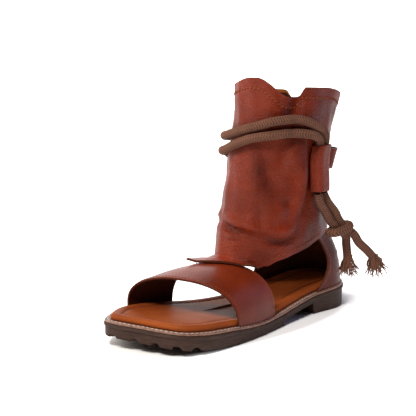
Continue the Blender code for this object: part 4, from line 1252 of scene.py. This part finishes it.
# Columns: share of its height, parts of the outer and the inner line that it covers, how far its
# form follows the shaft's edge.
COUNTER = ((1.00, 1.00, 1.00, 1.00),
           (0.75, 0.86, 0.96, 0.55),
           (0.50, 0.79, 0.97, 0.22),
           (0.25, 0.84, 1.00, 0.06),
           (0.00, 1.00, 1.00, 0.00))
COUNTER_HALF_ANGLE, COUNTER_FRONT, COUNTER_INNER_FRONT = 66, 0.232, 0.312
COUNTER_TUCK = 0.0021
HEEL_GIRTH, COUNTER_SEAM = 0.150, 0.0052
ring = outline + inward * UPPER_SET_IN
back = int(np.argmax(ring[:, 1]))
heel_line = np.array([ring[(back + i) % len(ring)] for i in range(len(ring) // 3, -len(ring) // 3 - 1, -1)])
on_outer = np.arange(len(heel_line)) < len(ring) // 3
front_end = np.where(on_outer, along(COUNTER_FRONT), along(COUNTER_INNER_FRONT))
heel_line = heel_line[heel_line[:, 1] > front_end]
heel_run = np.r_[0, np.cumsum(np.linalg.norm(np.diff(heel_line, axis=0), axis=1))]
heel_mid = heel_run[int(np.argmax(heel_line[:, 1]))]
past_mid = 0.5 + (heel_run - heel_mid) / (heel_run[-1] - heel_mid) / 2
heel_run = np.where(heel_run < heel_mid, heel_run / heel_mid / 2, past_mid)


def counter_place(turned, share, out=0.0):
    """Places of the heel counter; share 1 is the shaft's edge, more than that is inside the shaft."""
    turned, share = np.broadcast_arrays(np.asarray(turned, float), np.asarray(share, float))
    at_share = np.clip(share, 0, 1)
    outer, inner, follow = np.moveaxis(table_at(COUNTER, at_share), -1, 0)
    cover = np.where(turned < 0.5, outer, inner)
    at = 0.5 + (turned - 0.5) * cover
    angle = 180 - COUNTER_HALF_ANGLE + 2 * COUNTER_HALF_ANGLE * at
    edge = shaft_place(angle, np.maximum(share - 1, 0), -COUNTER_TUCK)
    foot = np.stack([np.interp(at, heel_run, heel_line[:, k]) for k in (0, 1)], axis=-1)
    flat = foot * (1 - follow)[..., None] + edge[..., :2] * follow[..., None]
    away = flat - (0.0, along(COUNTER_FRONT) - 0.012)
    away /= np.linalg.norm(away, axis=-1)[..., None]
    near_edge = np.minimum(turned, 1 - turned) * cover * HEEL_GIRTH
    strip = 0.0006 / (1 + np.exp((near_edge - 0.0042) / 0.00025)) * np.clip(share / 0.02, 0, 1)
    worn = np.exp(-((share - 0.44) / 0.035) ** 2) - np.exp(-((share - 0.52) / 0.04) ** 2)
    worn = 0.0007 * worn * np.sin(pi * turned) ** 2
    flat = flat + away * (out + strip - worn)[..., None]
    low = rim_height(flat[..., 1]) + CLEARANCE
    return np.concatenate([flat, (low + (edge[..., 2] - low) * at_share)[..., None]], axis=-1)


counter_shares = np.r_[np.linspace(0, 1.0, 56), np.linspace(1.0, 1.06, 8)[1:]]
last = len(counter_shares) - 1
counter = lay_sheet("heel_counter_skin", 150, last,
                    lambda u, v: counter_place(u, counter_shares[np.round(v * last).astype(int)]))
face_out(counter, (0.0, along(COUNTER_FRONT), 0.05))

# Darker hide from the same tannery, stiffened at the back, with its grain pressed nearly flat.
counter_leather = grained_leather("counter_leather", "#602312", "#2E0D06", 0.38, 0.22, 540.0)
wall(counter, 0.0017, 0.00035, counter_leather, lining_suede, cut_edge)
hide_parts("upper")
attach(counter, "root")
for name, side in (("counter_stitches_outer", 0), ("counter_stitches_inner", 1)):
    shares = np.linspace(0.03, 0.98, 90)
    cover = table_at(COUNTER, shares)[:, side]
    at = COUNTER_SEAM / HEEL_GIRTH / cover
    at = 1 - at if side else at
    seam_on(counter_place, name, at, shares, 0.0032, 0.0023, 0.0006)

# KEEPERS
# Two tunnels of thinner leather sewn to the shaft at both sides, cut raw at foot and head, with room
# for the doubled rope. Columns: name, angle, foot and head as shares of the shaft height, width in
# shaft widths, room under foot and head in rope diameters.
KEEPER_LEATHER, KEEPER_FLANGE, KEEPER_SEAT = 0.0016, 0.0010, 0.0004
KEEPERS = (("outer_keeper", 102, 0.545, 0.739, 0.2680, 1.110, 1.140),
           ("back_keeper", 177.5, 0.610, 0.699, 0.3514, 1.300, 2.250))
for node, centre, foot, head, share_across, foot_room, head_room in KEEPERS:
    width = SHAFT_WIDTH * share_across
    flat = 1 - KEEPER_FLANGE * 2 / width

    def keeper_place(u, v):
        """Places of the tunnel's outer face, u across and v from foot to head."""
        share = foot + (head - foot) * v
        step = np.linalg.norm(at_height(centre + 4, share, 0) - at_height(centre - 4, share, 0), axis=-1)
        half = width / 2 * 8 / step
        t = 2 * u - 1
        room = ROPE_DIAMETER * (foot_room + (head_room - foot_room) * v)
        rise = room * np.sqrt(np.maximum(1 - np.abs(t / flat) ** 4, 0))
        return at_height(centre + half * t, share, KEEPER_SEAT + KEEPER_LEATHER + rise)

    tunnel = lay_sheet(node + "_skin", 52, 30, keeper_place)
    face_out(tunnel, (0.0, 0.045, 0.13))
    wall(tunnel, KEEPER_LEATHER, 0.00035, shaft_leather, lining_suede, shaft_leather)
    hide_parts(node)
    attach(tunnel, "root")
